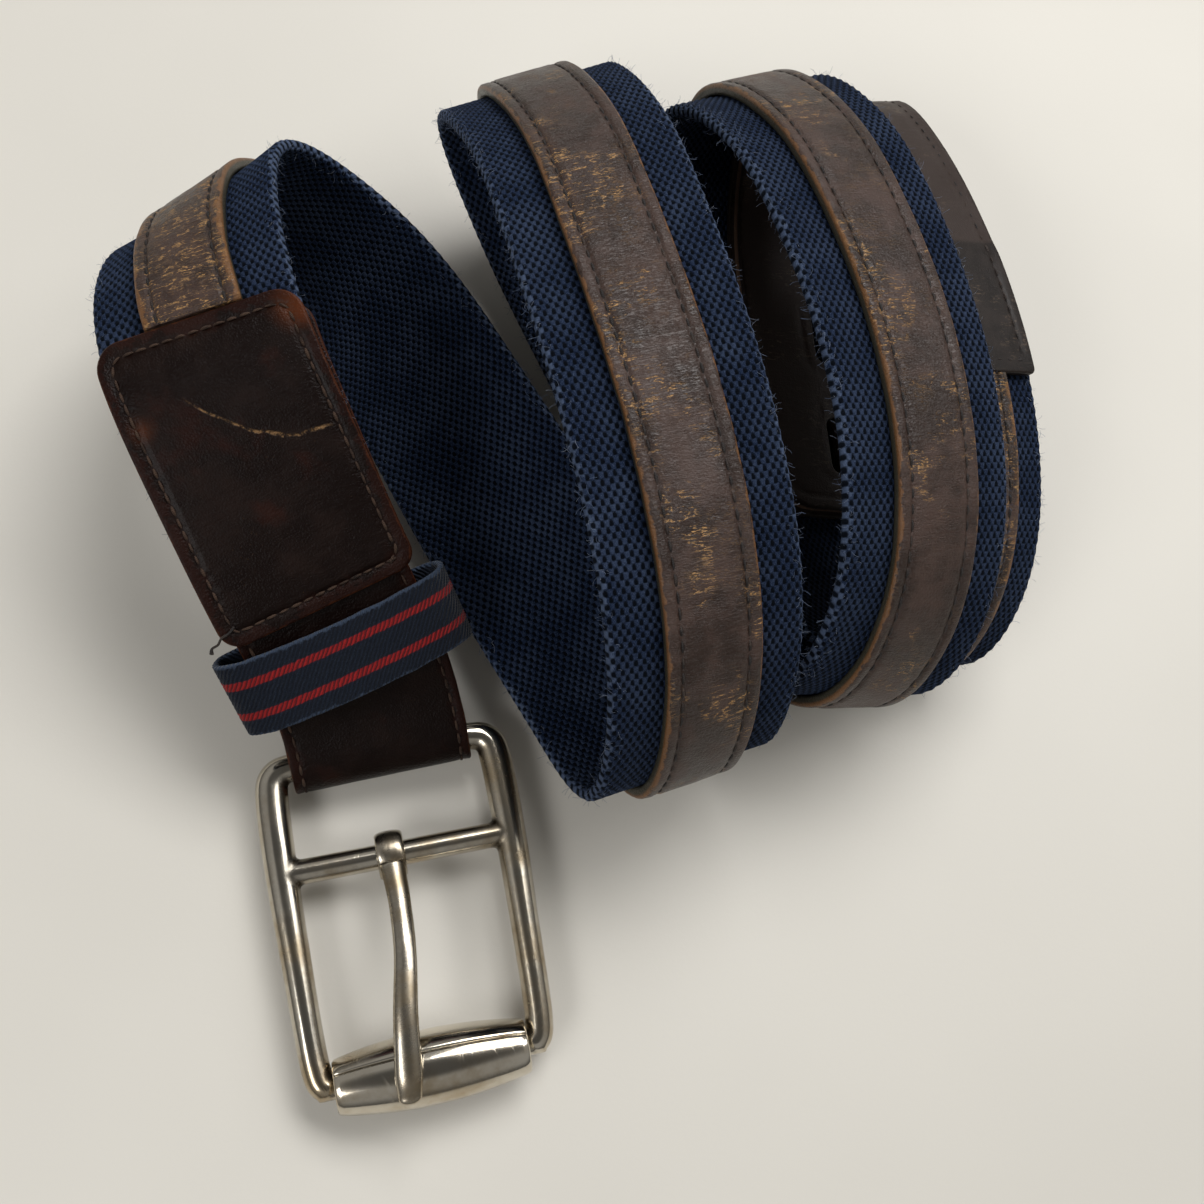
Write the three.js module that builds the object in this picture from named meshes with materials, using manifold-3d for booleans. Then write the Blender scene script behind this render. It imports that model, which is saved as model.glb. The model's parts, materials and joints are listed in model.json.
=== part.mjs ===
// A webbing belt with a leather centre strip and a roller buckle, coiled and lying on its side.
// Millimetres, +Z up, +X along the bars of the buckle, the origin on the table under the middle.
import * as THREE from "three";
import { mergeVertices } from "three/addons/utils/BufferGeometryUtils.js";
import Module from "manifold-3d";

const wasm = await Module();
wasm.setup();

// Layers of the strap, all measured from the middle of the webbing, outwards from the roll.
const strapWidth = 38;
const webbingThickness = 2.8;
const layerGap = 0.3;
const stripWidth = 18.4;
const stripThickness = 2.4;
const chapeWidth = 35.2;
const chapeThickness = 1.6;
const patchThickness = 1.9;
const billetWidth = 36.6;
const coreThickness = 1.6;
const threadRadius = 0.25;
const seamInset = 2.7;

// Lengths along the strap, counted from the top bar of the buckle.
const stationLength = 7;
const chapeTail = 41.7;
const webbingStart = 42;
const tabStart = 35;
const tabEnd = 91;
const billetStart = 1008;
const webbingEnd = 1036;
const billetTip = 1183;
const holePitch = 26.5;
const firstHole = 1062;
const holeCount = 5;
const holeLength = 13;
const holeWidth = 4;

// Buckle, with its top bar level with the bottom bar, so that the roller rests on the table.
const barHeight = 7.3;
const topBarRadius = 2.9;
const foldClearance = 0.5;
const armOffset = 22.4;
const armTaper = 0.9;
const centreBarPlace = -20.6;
const centreBarRadius = 2.7;
const bottomBarPlace = -61;
const bottomBarRadius = 2.1;
const rollerRadius = 6.9;
const rollerEndRadius = 5;
const rollerLength = 36.4;
const runningClearance = 0.35;
const prongWidth = 4.4;
const prongHeight = 3.2;
const prongPlace = -1.4;

// Keeper ribbon, a loose loop around the chape.
const keeperPlace = 25;
const keeperLength = 15.4;
const keeperThickness = 1.3;

// Where the whole part stands: the middle of the top bar, seen from the origin and the table.
const placeX = -50.6;
const placeY = -32.5;
const placeZ = -0.4;

// First stretch of the strap, from under the top bar up to the first far bend: x, y, z, axis heading, axis lean.
const leadIn = [
  [0, -12, -6.2, 0, 0],
  [0, 0, barHeight, 0, 0],
  [-1, 12, 20.8, 2, 2],
  [-8, 29, 32.6, 0.6, 4.3],
  [-14.5, 52, 44.5, 5, -4],
  [-21.5, 75.5, 54.5, 10, -12],
  [-20.5, 110.5, 41, 15, -20],
];
const leadInHeight = 43;

// The roll's far and near bends in turn, and the tail: x, y, and the heading and downward lean of the roll's axis.
const bends = [
  [23.5, 105, 13.5, -41],
  [50.6, -12, 8, 8],
  [60.5, 116.5, 5, -7],
  [83.8, -2, -4.5, 20],
  [94, 110.5, 11.5, 9],
  [99, 3.5, -5.5, 25.5],
  [111, 107.5, 5.5, 11.5],
  [96, -3, 8.5, 16.5],
];

// Height of each run between two bends: lower runs lie on the table or on a neighbour, upper runs arch over them.
const runHeights = [16, 59, 7, 56, 10, 45, 15.5];

// Shape of a run in steps along it: how far from its near bend, and how high against its height.
const upperRun = [[-0.1, 0.45], [0.04, 0.96], [0.28, 1.17], [0.52, 1.2], [0.74, 1.13], [0.92, 1.02]];
const lowerRun = [[1.18, 0.58], [0.98, 0], [0.74, 0], [0.5, 0], [0.28, 0], [0.12, 0]];

const leather = { color: 0x4f433e, roughness: 0.6, metalness: 0 };
const darkLeather = { color: 0x2c1a16, roughness: 0.4, metalness: 0 };
const thread = { color: 0x6b5b4c, roughness: 0.8, metalness: 0 };
const cloth = { color: 0x1a2a47, roughness: 0.9, metalness: 0 };
const metal = { color: 0xa8a39b, roughness: 0.3, metalness: 1 };

const part = new THREE.Group();
part.position.set(placeX, placeY, placeZ);

function radians(degrees) {
  return THREE.MathUtils.degToRad(degrees);
}

function mix(from, to, share) {
  return from.map((value, index) => value + (to[index] - value) * share);
}

// Points that steer the strap's middle line, each with the heading and lean of the roll's axis there.
function steeringPoints() {
  const points = leadIn.map((row) => [...row]);
  runHeights.forEach((height, index) => {
    const isUpper = index % 2 === 1;
    const dropFrom = index === 0 ? leadInHeight : runHeights[index - 1];
    for (const [reach, rise] of isUpper ? upperRun : lowerRun) {
      const share = isUpper ? reach : 1 - reach;
      const [x, y, heading, lean] = mix(bends[index], bends[index + 1], share);
      const up = isUpper ? height * rise : height + (dropFrom - height) * rise;
      const sideways = up * Math.sin(radians(lean));
      points.push([
        x + sideways * Math.cos(radians(heading)),
        y + sideways * Math.sin(radians(heading)),
        up * Math.cos(radians(lean)),
        heading,
        lean,
      ]);
    }
  });
  return points;
}

// Uniform cubic B-spline through the steering rows, and its derivative.
function splineRow(rows, place) {
  const first = Math.min(Math.floor(place), rows.length - 4);
  const u = place - first;
  const weights = [(1 - u) ** 3, 3 * u ** 3 - 6 * u ** 2 + 4, -3 * u ** 3 + 3 * u ** 2 + 3 * u + 1, u ** 3];
  const slopes = [-((1 - u) ** 2), 3 * u ** 2 - 4 * u, -3 * u ** 2 + 2 * u + 1, u ** 2];
  const row = rows[0].map((_, axis) => weights.reduce((sum, w, k) => sum + (w * rows[first + k][axis]) / 6, 0));
  const slope = rows[0].map((_, axis) => slopes.reduce((sum, w, k) => sum + (w * rows[first + k][axis]) / 2, 0));
  return { row, slope };
}

// The strap as a list of close frames: place, direction of travel, width direction and outward direction.
function strapFrames(samplesPerRow = 24) {
  const rows = steeringPoints();
  const frames = [];
  for (let i = 0; i <= (rows.length - 3) * samplesPerRow; i += 1) {
    const { row, slope } = splineRow(rows, i / samplesPerRow);
    const place = new THREE.Vector3(row[0], row[1], row[2]);
    const along = new THREE.Vector3(slope[0], slope[1], slope[2]).normalize();
    const heading = radians(row[3]);
    const lean = radians(row[4]);
    const axis = new THREE.Vector3(
      Math.cos(heading) * Math.cos(lean),
      Math.sin(heading) * Math.cos(lean),
      -Math.sin(lean),
    );
    const side = axis.addScaledVector(along, -axis.dot(along)).normalize();
    const out = new THREE.Vector3().crossVectors(side, along);
    const length = i === 0 ? 0 : frames[i - 1].length + place.distanceTo(frames[i - 1].place);
    frames.push({ length, place, along, side, out });
  }
  return frames;
}

const frames = strapFrames();

function strapFrame(length) {
  let low = 0;
  let high = frames.length - 1;
  while (high - low > 1) {
    const middle = Math.floor((low + high) / 2);
    if (frames[middle].length > length) high = middle;
    else low = middle;
  }
  const share = (length - frames[low].length) / (frames[high].length - frames[low].length);
  const between = THREE.MathUtils.clamp(share, 0, 1);
  const frame = {};
  for (const key of ["place", "along", "side", "out"]) {
    frame[key] = frames[low][key].clone().lerp(frames[high][key], between);
  }
  if (length < 0) frame.place.addScaledVector(frame.along, length);
  return frame;
}

// A line on the strap: its route gives lengths along, across and out of the strap for t from 0 to 1.
class StrapLine extends THREE.Curve {
  constructor(route, folded = false) {
    super();
    this.route = route;
    this.folded = folded;
  }

  getPoint(t, target = new THREE.Vector3()) {
    const { along, across = 0, out = 0 } = this.route(t);
    const frame = strapFrame(along);
    return target.copy(frame.place).addScaledVector(frame.side, across).addScaledVector(frame.out, out);
  }

  getUtoTmapping(u) {
    return u;
  }

  // Sections stand across the strap: their first direction is outwards, their second is across.
  computeFrenetFrames(count) {
    const result = { tangents: [], normals: [], binormals: [] };
    for (let i = 0; i <= count; i += 1) {
      const t = i / count;
      const frame = strapFrame(this.route(t).along);
      const tangent = this.folded ? this.getTangent(t) : frame.along;
      result.tangents.push(tangent);
      result.normals.push(this.folded ? frame.side.clone().cross(tangent).normalize() : frame.out);
      result.binormals.push(frame.side);
    }
    return result;
  }
}

function addMesh(name, geometry, look, parent = part) {
  const mesh = new THREE.Mesh(geometry, new THREE.MeshStandardMaterial(look));
  mesh.name = name;
  parent.add(mesh);
  return mesh;
}

function toSolid(geometry, matrix = new THREE.Matrix4()) {
  const bare = geometry.clone().applyMatrix4(matrix);
  bare.deleteAttribute("normal");
  bare.deleteAttribute("uv");
  const merged = mergeVertices(bare, 1e-4);
  return new wasm.Manifold(
    new wasm.Mesh({
      numProp: 3,
      vertProperties: new Float32Array(merged.attributes.position.array),
      triVerts: new Uint32Array(merged.index.array),
    }),
  );
}

function toGeometry(solid) {
  const { numProp, vertProperties, triVerts } = solid.getMesh();
  const positions = new Float32Array((vertProperties.length / numProp) * 3);
  for (let i = 0; i < positions.length / 3; i += 1) {
    positions.set(vertProperties.subarray(i * numProp, i * numProp + 3), i * 3);
  }
  const geometry = new THREE.BufferGeometry();
  geometry.setAttribute("position", new THREE.BufferAttribute(positions, 3));
  geometry.setIndex(new THREE.BufferAttribute(new Uint32Array(triVerts), 1));
  geometry.computeVertexNormals();
  return geometry;
}

// Sections of every layer stand at the same stations, so that their faces stay parallel.
function stationsBetween(start, end) {
  const stations = [start];
  for (let k = Math.floor(start / stationLength) + 1; k * stationLength < end - 0.5; k += 1) {
    if (k * stationLength > start + 0.5) stations.push(k * stationLength);
  }
  stations.push(end);
  return stations;
}

function bandSection(width, inner, outer, edge = 0.8, shift = 0) {
  const half = width / 2;
  const middle = (inner + outer) / 2;
  const corners = [
    [inner, edge - half],
    [middle, -half],
    [outer, edge - half],
    [outer, half - edge],
    [middle, half],
    [inner, half - edge],
  ];
  return new THREE.Shape(corners.map(([out, across]) => new THREE.Vector2(out, across + shift)));
}

function roundSection(radiusX, radiusY, count) {
  const points = [];
  for (let i = 0; i < count; i += 1) {
    const angle = (2 * Math.PI * i) / count;
    points.push(new THREE.Vector2(radiusX * Math.cos(angle), radiusY * Math.sin(angle)));
  }
  return new THREE.Shape(points);
}

function sweep(section, path, steps) {
  return new THREE.ExtrudeGeometry(section, { steps, bevelEnabled: false, extrudePath: path });
}

function strapLayer(section, start, end) {
  const stations = stationsBetween(start, end);
  const count = stations.length - 1;
  const route = (t) => {
    const whole = Math.min(Math.floor(t * count + 1e-6), count - 1);
    return { along: stations[whole] + (stations[whole + 1] - stations[whole]) * (t * count - whole) };
  };
  return sweep(section, new StrapLine(route), count);
}

// A right prism that stands on the strap at one length, from an outline drawn as across and along.
function prismOnStrap(outline, length, depth) {
  const { place, along, side, out } = strapFrame(length);
  const matrix = new THREE.Matrix4().makeBasis(side, along, out);
  matrix.setPosition(place.clone().addScaledVector(out, -depth / 2));
  return toSolid(new THREE.ExtrudeGeometry(outline, { depth, bevelEnabled: false, curveSegments: 3 }), matrix);
}

function roundedRectangle(width, length, nearRadius, farRadius = nearRadius) {
  const x = width / 2;
  const y = length / 2;
  const shape = new THREE.Shape();
  shape.moveTo(-x + nearRadius, -y);
  shape.lineTo(x - nearRadius, -y);
  shape.absarc(x - nearRadius, -y + nearRadius, nearRadius, -Math.PI / 2, 0);
  shape.lineTo(x, y - farRadius);
  shape.absarc(x - farRadius, y - farRadius, farRadius, 0, Math.PI / 2);
  shape.lineTo(-x + farRadius, y);
  shape.absarc(-x + farRadius, y - farRadius, farRadius, Math.PI / 2, Math.PI);
  shape.lineTo(-x, -y + nearRadius);
  shape.absarc(-x + nearRadius, -y + nearRadius, nearRadius, Math.PI, 1.5 * Math.PI);
  return shape;
}

function addWebbing() {
  const half = webbingThickness / 2;
  addMesh("webbing", strapLayer(bandSection(strapWidth, -half, half), webbingStart, webbingEnd), cloth);
}

// The raised leather strip, with a groove for each of its two seams.
function addCentreStrip() {
  const inner = webbingThickness / 2 + layerGap;
  const outer = inner + stripThickness;
  const half = stripWidth / 2;
  const seam = half - seamInset;
  const edge = [
    [inner, half],
    [outer - 0.7, half],
    [outer, half - 0.8],
    [outer, seam + 0.9],
    [outer - 1.1, seam],
    [outer, seam - 0.9],
  ];
  const mirrored = edge.map(([out, across]) => [out, -across]).reverse();
  const section = new THREE.Shape([...edge, ...mirrored].map(([out, across]) => new THREE.Vector2(out, across)));
  const start = tabEnd + layerGap;
  const end = billetStart - layerGap;
  addMesh("centre_strip", strapLayer(section, start, end), leather);
  for (const [name, across] of [["strip_seam_left", -seam], ["strip_seam_right", seam]]) {
    const dot = roundSection(threadRadius, threadRadius, 4).getPoints();
    dot.forEach((point) => point.add(new THREE.Vector2(outer - 0.35, across)));
    addMesh(name, strapLayer(new THREE.Shape(dot.slice(0, 4)), start + 2, end - 2), thread);
  }
}

// Distance of the chape's middle from the strap's middle: wide around the bar, then lying together.
function chapeOffset(along) {
  const resting = layerGap / 2 + chapeThickness / 2 + 0.05;
  const folded = topBarRadius + foldClearance + chapeThickness / 2;
  const closing = THREE.MathUtils.clamp(along / 14, 0, 1);
  return resting + ((folded - resting) * (1 + Math.cos(Math.PI * closing))) / 2;
}

// The chape runs out from under the tab, round the top bar and back under the tab's other side.
function addChape() {
  const radius = chapeOffset(0);
  const halfFold = (Math.PI * radius) / 2;
  const halfLength = halfFold + chapeTail;
  const route = (t) => {
    const travel = (2 * t - 1) * halfLength;
    const way = Math.sign(travel) || 1;
    if (Math.abs(travel) < halfFold) {
      const angle = travel / radius;
      return { along: -radius * Math.cos(angle), out: radius * Math.sin(angle) };
    }
    const along = Math.abs(travel) - halfFold;
    return { along, out: way * chapeOffset(along) };
  };
  const section = bandSection(chapeWidth, -chapeThickness / 2, chapeThickness / 2, 0.4);
  addMesh("chape_loop", sweep(section, new StrapLine(route, true), 44), darkLeather);
  for (const [name, across] of [["chape_seam_left", -15.6], ["chape_seam_right", 15.6]]) {
    const seamRoute = (t) => {
      const along = 9 + 24 * t;
      return { along, across, out: chapeOffset(along) + chapeThickness / 2 + layerGap + threadRadius };
    };
    const seam = sweep(roundSection(threadRadius, threadRadius, 5), new StrapLine(seamRoute), 8);
    addMesh(name, seam, thread);
  }
}

// Thread round the edge of a patch, drawn as a loop that stays open by one stitch.
function edgeSeam(width, start, end, radius, out, steps) {
  const inset = 2 * seamInset;
  const outline = roundedRectangle(width - inset, end - start - inset, radius);
  const middle = (start + end) / 2;
  const route = (t) => {
    const point = outline.getPointAt(t * 0.99);
    return { along: middle + point.y, across: point.x, out };
  };
  return sweep(roundSection(threadRadius, threadRadius, 4), new SeamLine(route), steps);
}

// A thread that turns corners on the strap's face: its sections stand across its own direction.
class SeamLine extends StrapLine {
  computeFrenetFrames(count) {
    const result = { tangents: [], normals: [], binormals: [] };
    for (let i = 0; i <= count; i += 1) {
      const tangent = this.getTangent(i / count);
      const out = strapFrame(this.route(i / count).along).out;
      out.addScaledVector(tangent, -out.dot(tangent)).normalize();
      result.tangents.push(tangent);
      result.normals.push(out);
      result.binormals.push(new THREE.Vector3().crossVectors(tangent, out));
    }
    return result;
  }
}

// The buckle tab: a rounded leather patch on each side of the webbing's end, sewn round its edge.
function addTab() {
  const inner = layerGap / 2 + chapeThickness + 0.05 + layerGap;
  const outer = inner + patchThickness;
  const length = tabEnd - tabStart;
  const middle = (tabStart + tabEnd) / 2;
  const front = toSolid(strapLayer(bandSection(strapWidth + 0.6, inner, outer, 0.3), tabStart, tabEnd));
  const frontOutline = prismOnStrap(roundedRectangle(strapWidth + 1, length + 4, 5), middle, 40);
  addMesh("tab_front", toGeometry(front.intersect(frontOutline)), darkLeather);
  const back = toSolid(strapLayer(bandSection(strapWidth, -outer, -inner, 0.3, 0.8), tabStart - 1.5, tabEnd));
  const backOutline = prismOnStrap(roundedRectangle(strapWidth + 3, length + 6, 5), middle, 40);
  addMesh("tab_back", toGeometry(back.intersect(backOutline)), darkLeather);
  const threadOut = outer + layerGap + threadRadius;
  addMesh("tab_seam", edgeSeam(strapWidth, tabStart, tabEnd, 2.5, threadOut, 64), thread);
}

function holeOutline(grow) {
  return roundedRectangle(holeWidth + grow, holeLength + grow, (holeWidth + grow) / 2 - 0.01);
}

// The billet: leather on both sides of a stiff core, with a rounded tip and oblong holes for the prong.
function addBillet() {
  const inner = webbingThickness / 2 + layerGap;
  const outer = inner + patchThickness - 0.2;
  const tipLength = 30;
  const tipRadius = 11;
  const layers = [
    { name: "billet_front", width: billetWidth, from: inner, to: outer, start: billetStart, inset: 0 },
    { name: "billet_back", width: billetWidth, from: -outer, to: -inner, start: billetStart, inset: 0 },
    {
      name: "billet_core",
      width: billetWidth - 3,
      from: -coreThickness / 2,
      to: coreThickness / 2,
      start: webbingEnd + layerGap,
      inset: 1.5,
    },
  ];
  for (const layer of layers) {
    const { name, width, from, to, start, inset } = layer;
    let solid = toSolid(strapLayer(bandSection(width, from, to, 0.3), start, billetTip - inset));
    const around = prismOnStrap(roundedRectangle(width + 4, tipLength, 0.5), billetTip - tipLength / 2 + 1, 12);
    const kept = roundedRectangle(width + 0.2, tipLength + 20, 0.5, tipRadius);
    const tip = prismOnStrap(kept, billetTip - inset - tipLength / 2 - 10, 14);
    solid = solid.subtract(around.subtract(tip));
    for (let hole = 0; hole < holeCount; hole += 1) {
      solid = solid.subtract(prismOnStrap(holeOutline(inset), firstHole + hole * holePitch, 12));
    }
    addMesh(name, toGeometry(solid), leather);
  }
}

function bar(radius, from, to, place, segments = 16) {
  const geometry = new THREE.CylinderGeometry(radius, radius, to - from, segments);
  geometry.rotateZ(Math.PI / 2);
  geometry.translate((from + to) / 2, place, 0);
  return toSolid(geometry);
}

// One side of the frame, from the middle of the top bar down to a round end beside the roller.
function frameSide(side) {
  const places = [
    [-0.4, 0],
    [10, 0],
    [18.8, 0],
    [21.5, -1.4],
    [armOffset, -4.6],
    [armOffset + 0.2, -16],
    [armOffset, -30],
    [armOffset - armTaper * 0.7, -46],
    [armOffset - armTaper, bottomBarPlace],
  ];
  const curve = new THREE.CatmullRomCurve3(
    places.map(([x, y]) => new THREE.Vector3(side * x, y, 0)),
    false,
    "centripetal",
  );
  const arm = toSolid(sweep(roundSection(topBarRadius, topBarRadius, 12), curve, 30));
  const end = new THREE.SphereGeometry(topBarRadius - 0.02, 12, 8);
  end.translate(side * (armOffset - armTaper), bottomBarPlace, 0);
  return arm.add(toSolid(end));
}

function addBuckleFrame(buckle) {
  const frame = [
    frameSide(-1),
    frameSide(1),
    bar(centreBarRadius, -armOffset, armOffset, centreBarPlace),
    bar(bottomBarRadius, armTaper - armOffset, armOffset - armTaper, bottomBarPlace),
  ].reduce((whole, piece) => whole.add(piece));
  addMesh("buckle_frame", toGeometry(frame), metal, buckle);
}

function addRoller(buckle) {
  const half = rollerLength / 2;
  const bore = bottomBarRadius + runningClearance;
  const profile = [new THREE.Vector2(bore, -half)];
  for (let i = 0; i <= 10; i += 1) {
    const share = i / 5 - 1;
    const radius = rollerEndRadius + (rollerRadius - rollerEndRadius) * Math.cos((share * Math.PI) / 2) ** 0.8;
    profile.push(new THREE.Vector2(radius, share * half));
  }
  profile.push(new THREE.Vector2(bore, half), new THREE.Vector2(bore, -half));
  const geometry = new THREE.LatheGeometry(profile, 28);
  const roller = addMesh("roller", geometry, metal, buckle);
  roller.rotation.z = -Math.PI / 2;
  roller.position.set(0, bottomBarPlace, 0);
}

// The prong: a ring round the centre bar with a bowed shaft whose tip rests on the roller.
function addProng(buckle) {
  const bore = centreBarRadius + runningClearance;
  const rim = bore + 1.8;
  const half = prongWidth / 2 + 0.3;
  const profile = [
    [bore, -half],
    [rim - 0.4, -half],
    [rim, 0.5 - half],
    [rim, half - 0.5],
    [rim - 0.4, half],
    [bore, half],
    [bore, -half],
  ].map(([x, y]) => new THREE.Vector2(x, y));
  const ring = new THREE.LatheGeometry(profile, 24);
  ring.rotateZ(-Math.PI / 2);
  ring.translate(prongPlace, centreBarPlace, 0);
  const resting = rollerRadius + layerGap + prongHeight / 2;
  const shaftPlaces = [
    [prongPlace, centreBarPlace - 2, bore + 1],
    [prongPlace + 0.1, centreBarPlace - 5, bore + 1.6],
    [prongPlace + 0.2, -31, 6.2],
    [prongPlace - 0.3, -40, 8.5],
    [prongPlace - 2, -51, 9.6],
    [prongPlace - 3.1, bottomBarPlace, resting],
    [prongPlace - 3.5, bottomBarPlace - 4.6, resting - 1.1],
  ];
  const curve = new THREE.CatmullRomCurve3(shaftPlaces.map((place) => new THREE.Vector3(...place)));
  const shaft = sweep(roundSection(prongHeight / 2, prongWidth / 2, 12), new LevelCurve(curve), 26);
  const solid = toSolid(ring).add(toSolid(shaft));
  addMesh("prong", toGeometry(solid.subtract(bar(bore, -12, 12, centreBarPlace))), metal, buckle);
}

// Keeps a swept section level across +X while it follows another curve.
class LevelCurve extends THREE.Curve {
  constructor(curve) {
    super();
    this.curve = curve;
  }

  getPoint(t, target) {
    return this.curve.getPoint(t, target);
  }

  computeFrenetFrames(count) {
    const result = { tangents: [], normals: [], binormals: [] };
    for (let i = 0; i <= count; i += 1) {
      const tangent = this.curve.getTangentAt(i / count);
      const across = new THREE.Vector3(1, 0, 0).addScaledVector(tangent, -tangent.x).normalize();
      result.tangents.push(tangent);
      result.normals.push(new THREE.Vector3().crossVectors(across, tangent));
      result.binormals.push(across);
    }
    return result;
  }
}

// Half of the keeper's outline, from the middle of its underside to the middle of its top: across and out.
function keeperOutline(grow) {
  const half = [
    [20.4 + grow * 0.6, -3.4 - grow],
    [22.8 + grow, -0.4],
    [20.8 + grow * 0.9, 3.4 + grow * 0.6],
    [12 + grow * 0.2, 5 + grow],
  ];
  const other = half.map(([across, out]) => [-across, out]).reverse();
  return [...half, ...other].map(([across, out]) => new THREE.Vector2(across, out));
}

function addKeeper() {
  const outline = new THREE.Shape(keeperOutline(keeperThickness));
  outline.holes.push(new THREE.Path(keeperOutline(0)));
  const geometry = new THREE.ExtrudeGeometry(outline, { depth: keeperLength, bevelEnabled: false });
  geometry.translate(0, 0, -keeperLength / 2);
  const { place, along, side, out } = strapFrame(keeperPlace);
  const keeper = addMesh("keeper_ribbon", geometry, cloth);
  const turn = new THREE.Matrix4().makeBasis(side, out, new THREE.Vector3().crossVectors(side, out));
  keeper.quaternion.setFromRotationMatrix(turn);
  keeper.position.copy(place);
}

const buckle = new THREE.Group();
buckle.position.set(0, 0, barHeight);
part.add(buckle);

addWebbing();
addCentreStrip();
addChape();
addTab();
addBillet();
addKeeper();
addBuckleFrame(buckle);
addRoller(buckle);
addProng(buckle);

export default part;
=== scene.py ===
import json
import math

import bmesh
import bpy
import numpy as np
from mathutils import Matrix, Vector, noise


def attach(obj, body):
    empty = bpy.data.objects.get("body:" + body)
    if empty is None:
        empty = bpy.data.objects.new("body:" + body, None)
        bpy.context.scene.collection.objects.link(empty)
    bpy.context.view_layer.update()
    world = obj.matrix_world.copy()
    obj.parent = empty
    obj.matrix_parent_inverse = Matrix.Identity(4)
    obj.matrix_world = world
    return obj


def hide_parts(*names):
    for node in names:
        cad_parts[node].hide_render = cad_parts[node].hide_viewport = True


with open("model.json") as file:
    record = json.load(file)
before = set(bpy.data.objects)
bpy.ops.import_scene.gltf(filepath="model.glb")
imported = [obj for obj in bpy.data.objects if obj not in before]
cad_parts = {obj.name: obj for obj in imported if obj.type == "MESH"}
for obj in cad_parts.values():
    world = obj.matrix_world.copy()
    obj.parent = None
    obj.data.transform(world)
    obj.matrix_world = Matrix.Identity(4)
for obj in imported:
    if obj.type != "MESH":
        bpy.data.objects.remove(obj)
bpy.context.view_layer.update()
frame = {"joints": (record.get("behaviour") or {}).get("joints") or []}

mm = 0.001
joints = {joint["name"]: joint for joint in frame["joints"]}

# the strap's way through the roll, in mm
route = {
    "barHeight": 7.3,
    "leadIn": [  # x, y, z, heading and downward lean of the roll's axis
        (0, -12, -6.2, 0, 0),
        (0, 0, 7.3, 0, 0),
        (-1, 12, 20.8, 2, 2),
        (-8, 29, 32.6, 0.6, 4.3),
        (-14.5, 52, 44.5, 5, -4),
        (-21.5, 75.5, 54.5, 10, -12),
        (-20.5, 110.5, 41, 15, -20),
    ],
    "leadInHeight": 43,
    "bends": [  # far and near bends in turn: x, y, heading, lean
        (23.5, 105, 13.5, -41),
        (50.6, -12, 8, 8),
        (60.5, 116.5, 5, -7),
        (83.8, -2, -4.5, 20),
        (94, 110.5, 11.5, 9),
        (99, 3.5, -5.5, 25.5),
        (111, 107.5, 5.5, 11.5),
        (96, -3, 8.5, 16.5),
    ],
    "runHeights": [16, 59, 7, 56, 10, 45, 15.5],
    "upperRun": [(-0.1, 0.45), (0.04, 0.96), (0.28, 1.17), (0.52, 1.2), (0.74, 1.13), (0.92, 1.02)],
    "lowerRun": [(1.18, 0.58), (0.98, 0), (0.74, 0), (0.5, 0), (0.28, 0), (0.12, 0)],
}
topBar = np.array(joints["buckle_hinge"]["pos_m"]) / mm
origin = topBar - (0, 0, route["barHeight"])


def steeringRows():
    rows = [list(row) for row in route["leadIn"]]
    heights, bends = route["runHeights"], np.array(route["bends"], float)
    for index, height in enumerate(heights):
        isUpper = index % 2 == 1
        dropFrom = heights[index - 1] if index else route["leadInHeight"]
        for reach, rise in route["upperRun" if isUpper else "lowerRun"]:
            share = reach if isUpper else 1 - reach
            x, y, heading, lean = bends[index] + (bends[index + 1] - bends[index]) * share
            up = height * rise if isUpper else height + (dropFrom - height) * rise
            sideways = up * math.sin(math.radians(lean))
            x += sideways * math.cos(math.radians(heading))
            y += sideways * math.sin(math.radians(heading))
            rows.append([x, y, up * math.cos(math.radians(lean)), heading, lean])
    return np.array(rows, float)


def unit(vectors):
    return vectors / np.linalg.norm(vectors, axis=-1, keepdims=True)


def strapFrames(samplesPerRow=24):
    rows = steeringRows()
    steps = np.arange((len(rows) - 3) * samplesPerRow + 1) / samplesPerRow
    first = np.minimum(steps.astype(int), len(rows) - 4)
    u = (steps - first)[:, None]
    weights = [(1 - u) ** 3, 3 * u**3 - 6 * u**2 + 4, -3 * u**3 + 3 * u**2 + 3 * u + 1, u**3]
    slopes = [-((1 - u) ** 2), 3 * u**2 - 4 * u, -3 * u**2 + 2 * u + 1, u**2]
    row = sum(weights[k] * rows[first + k] for k in range(4)) / 6
    slope = sum(slopes[k] * rows[first + k] for k in range(4)) / 2
    along = unit(slope[:, :3])
    heading, lean = np.radians(row[:, 3]), np.radians(row[:, 4])
    axis = np.stack([np.cos(heading) * np.cos(lean), np.sin(heading) * np.cos(lean), -np.sin(lean)], -1)
    side = unit(axis - (axis * along).sum(1)[:, None] * along)
    out = np.cross(side, along)
    place = row[:, :3] + origin
    length = np.r_[0, np.cumsum(np.linalg.norm(np.diff(place, axis=0), axis=1))]
    return length, np.hstack([place, along, side, out])


strapLength, strapTable = strapFrames()


# place, along, side and out of the strap at each length
def strapFrame(lengths):
    lengths = np.asarray(lengths, float)
    rows = np.stack([np.interp(lengths, strapLength, column) for column in strapTable.T], -1)
    place, along, side, out = (rows[..., k : k + 3] for k in (0, 3, 6, 9))
    return place + along * np.minimum(lengths, 0)[..., None], along, side, out


# metres, from mm along, across and out of the strap
def onStrap(along, across, out):
    place, _, side, outward = strapFrame(along)
    return (place + side * np.asarray(across)[..., None] + outward * np.asarray(out)[..., None]) * mm


def softNoise(points, scale, seed):
    shift = Vector((seed * 7.3, seed * 3.1, seed * 1.7))
    return np.array([noise.noise(Vector(p) * scale + shift) for p in points])


print("strap route", round(strapLength[-1]), "mm")


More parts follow.
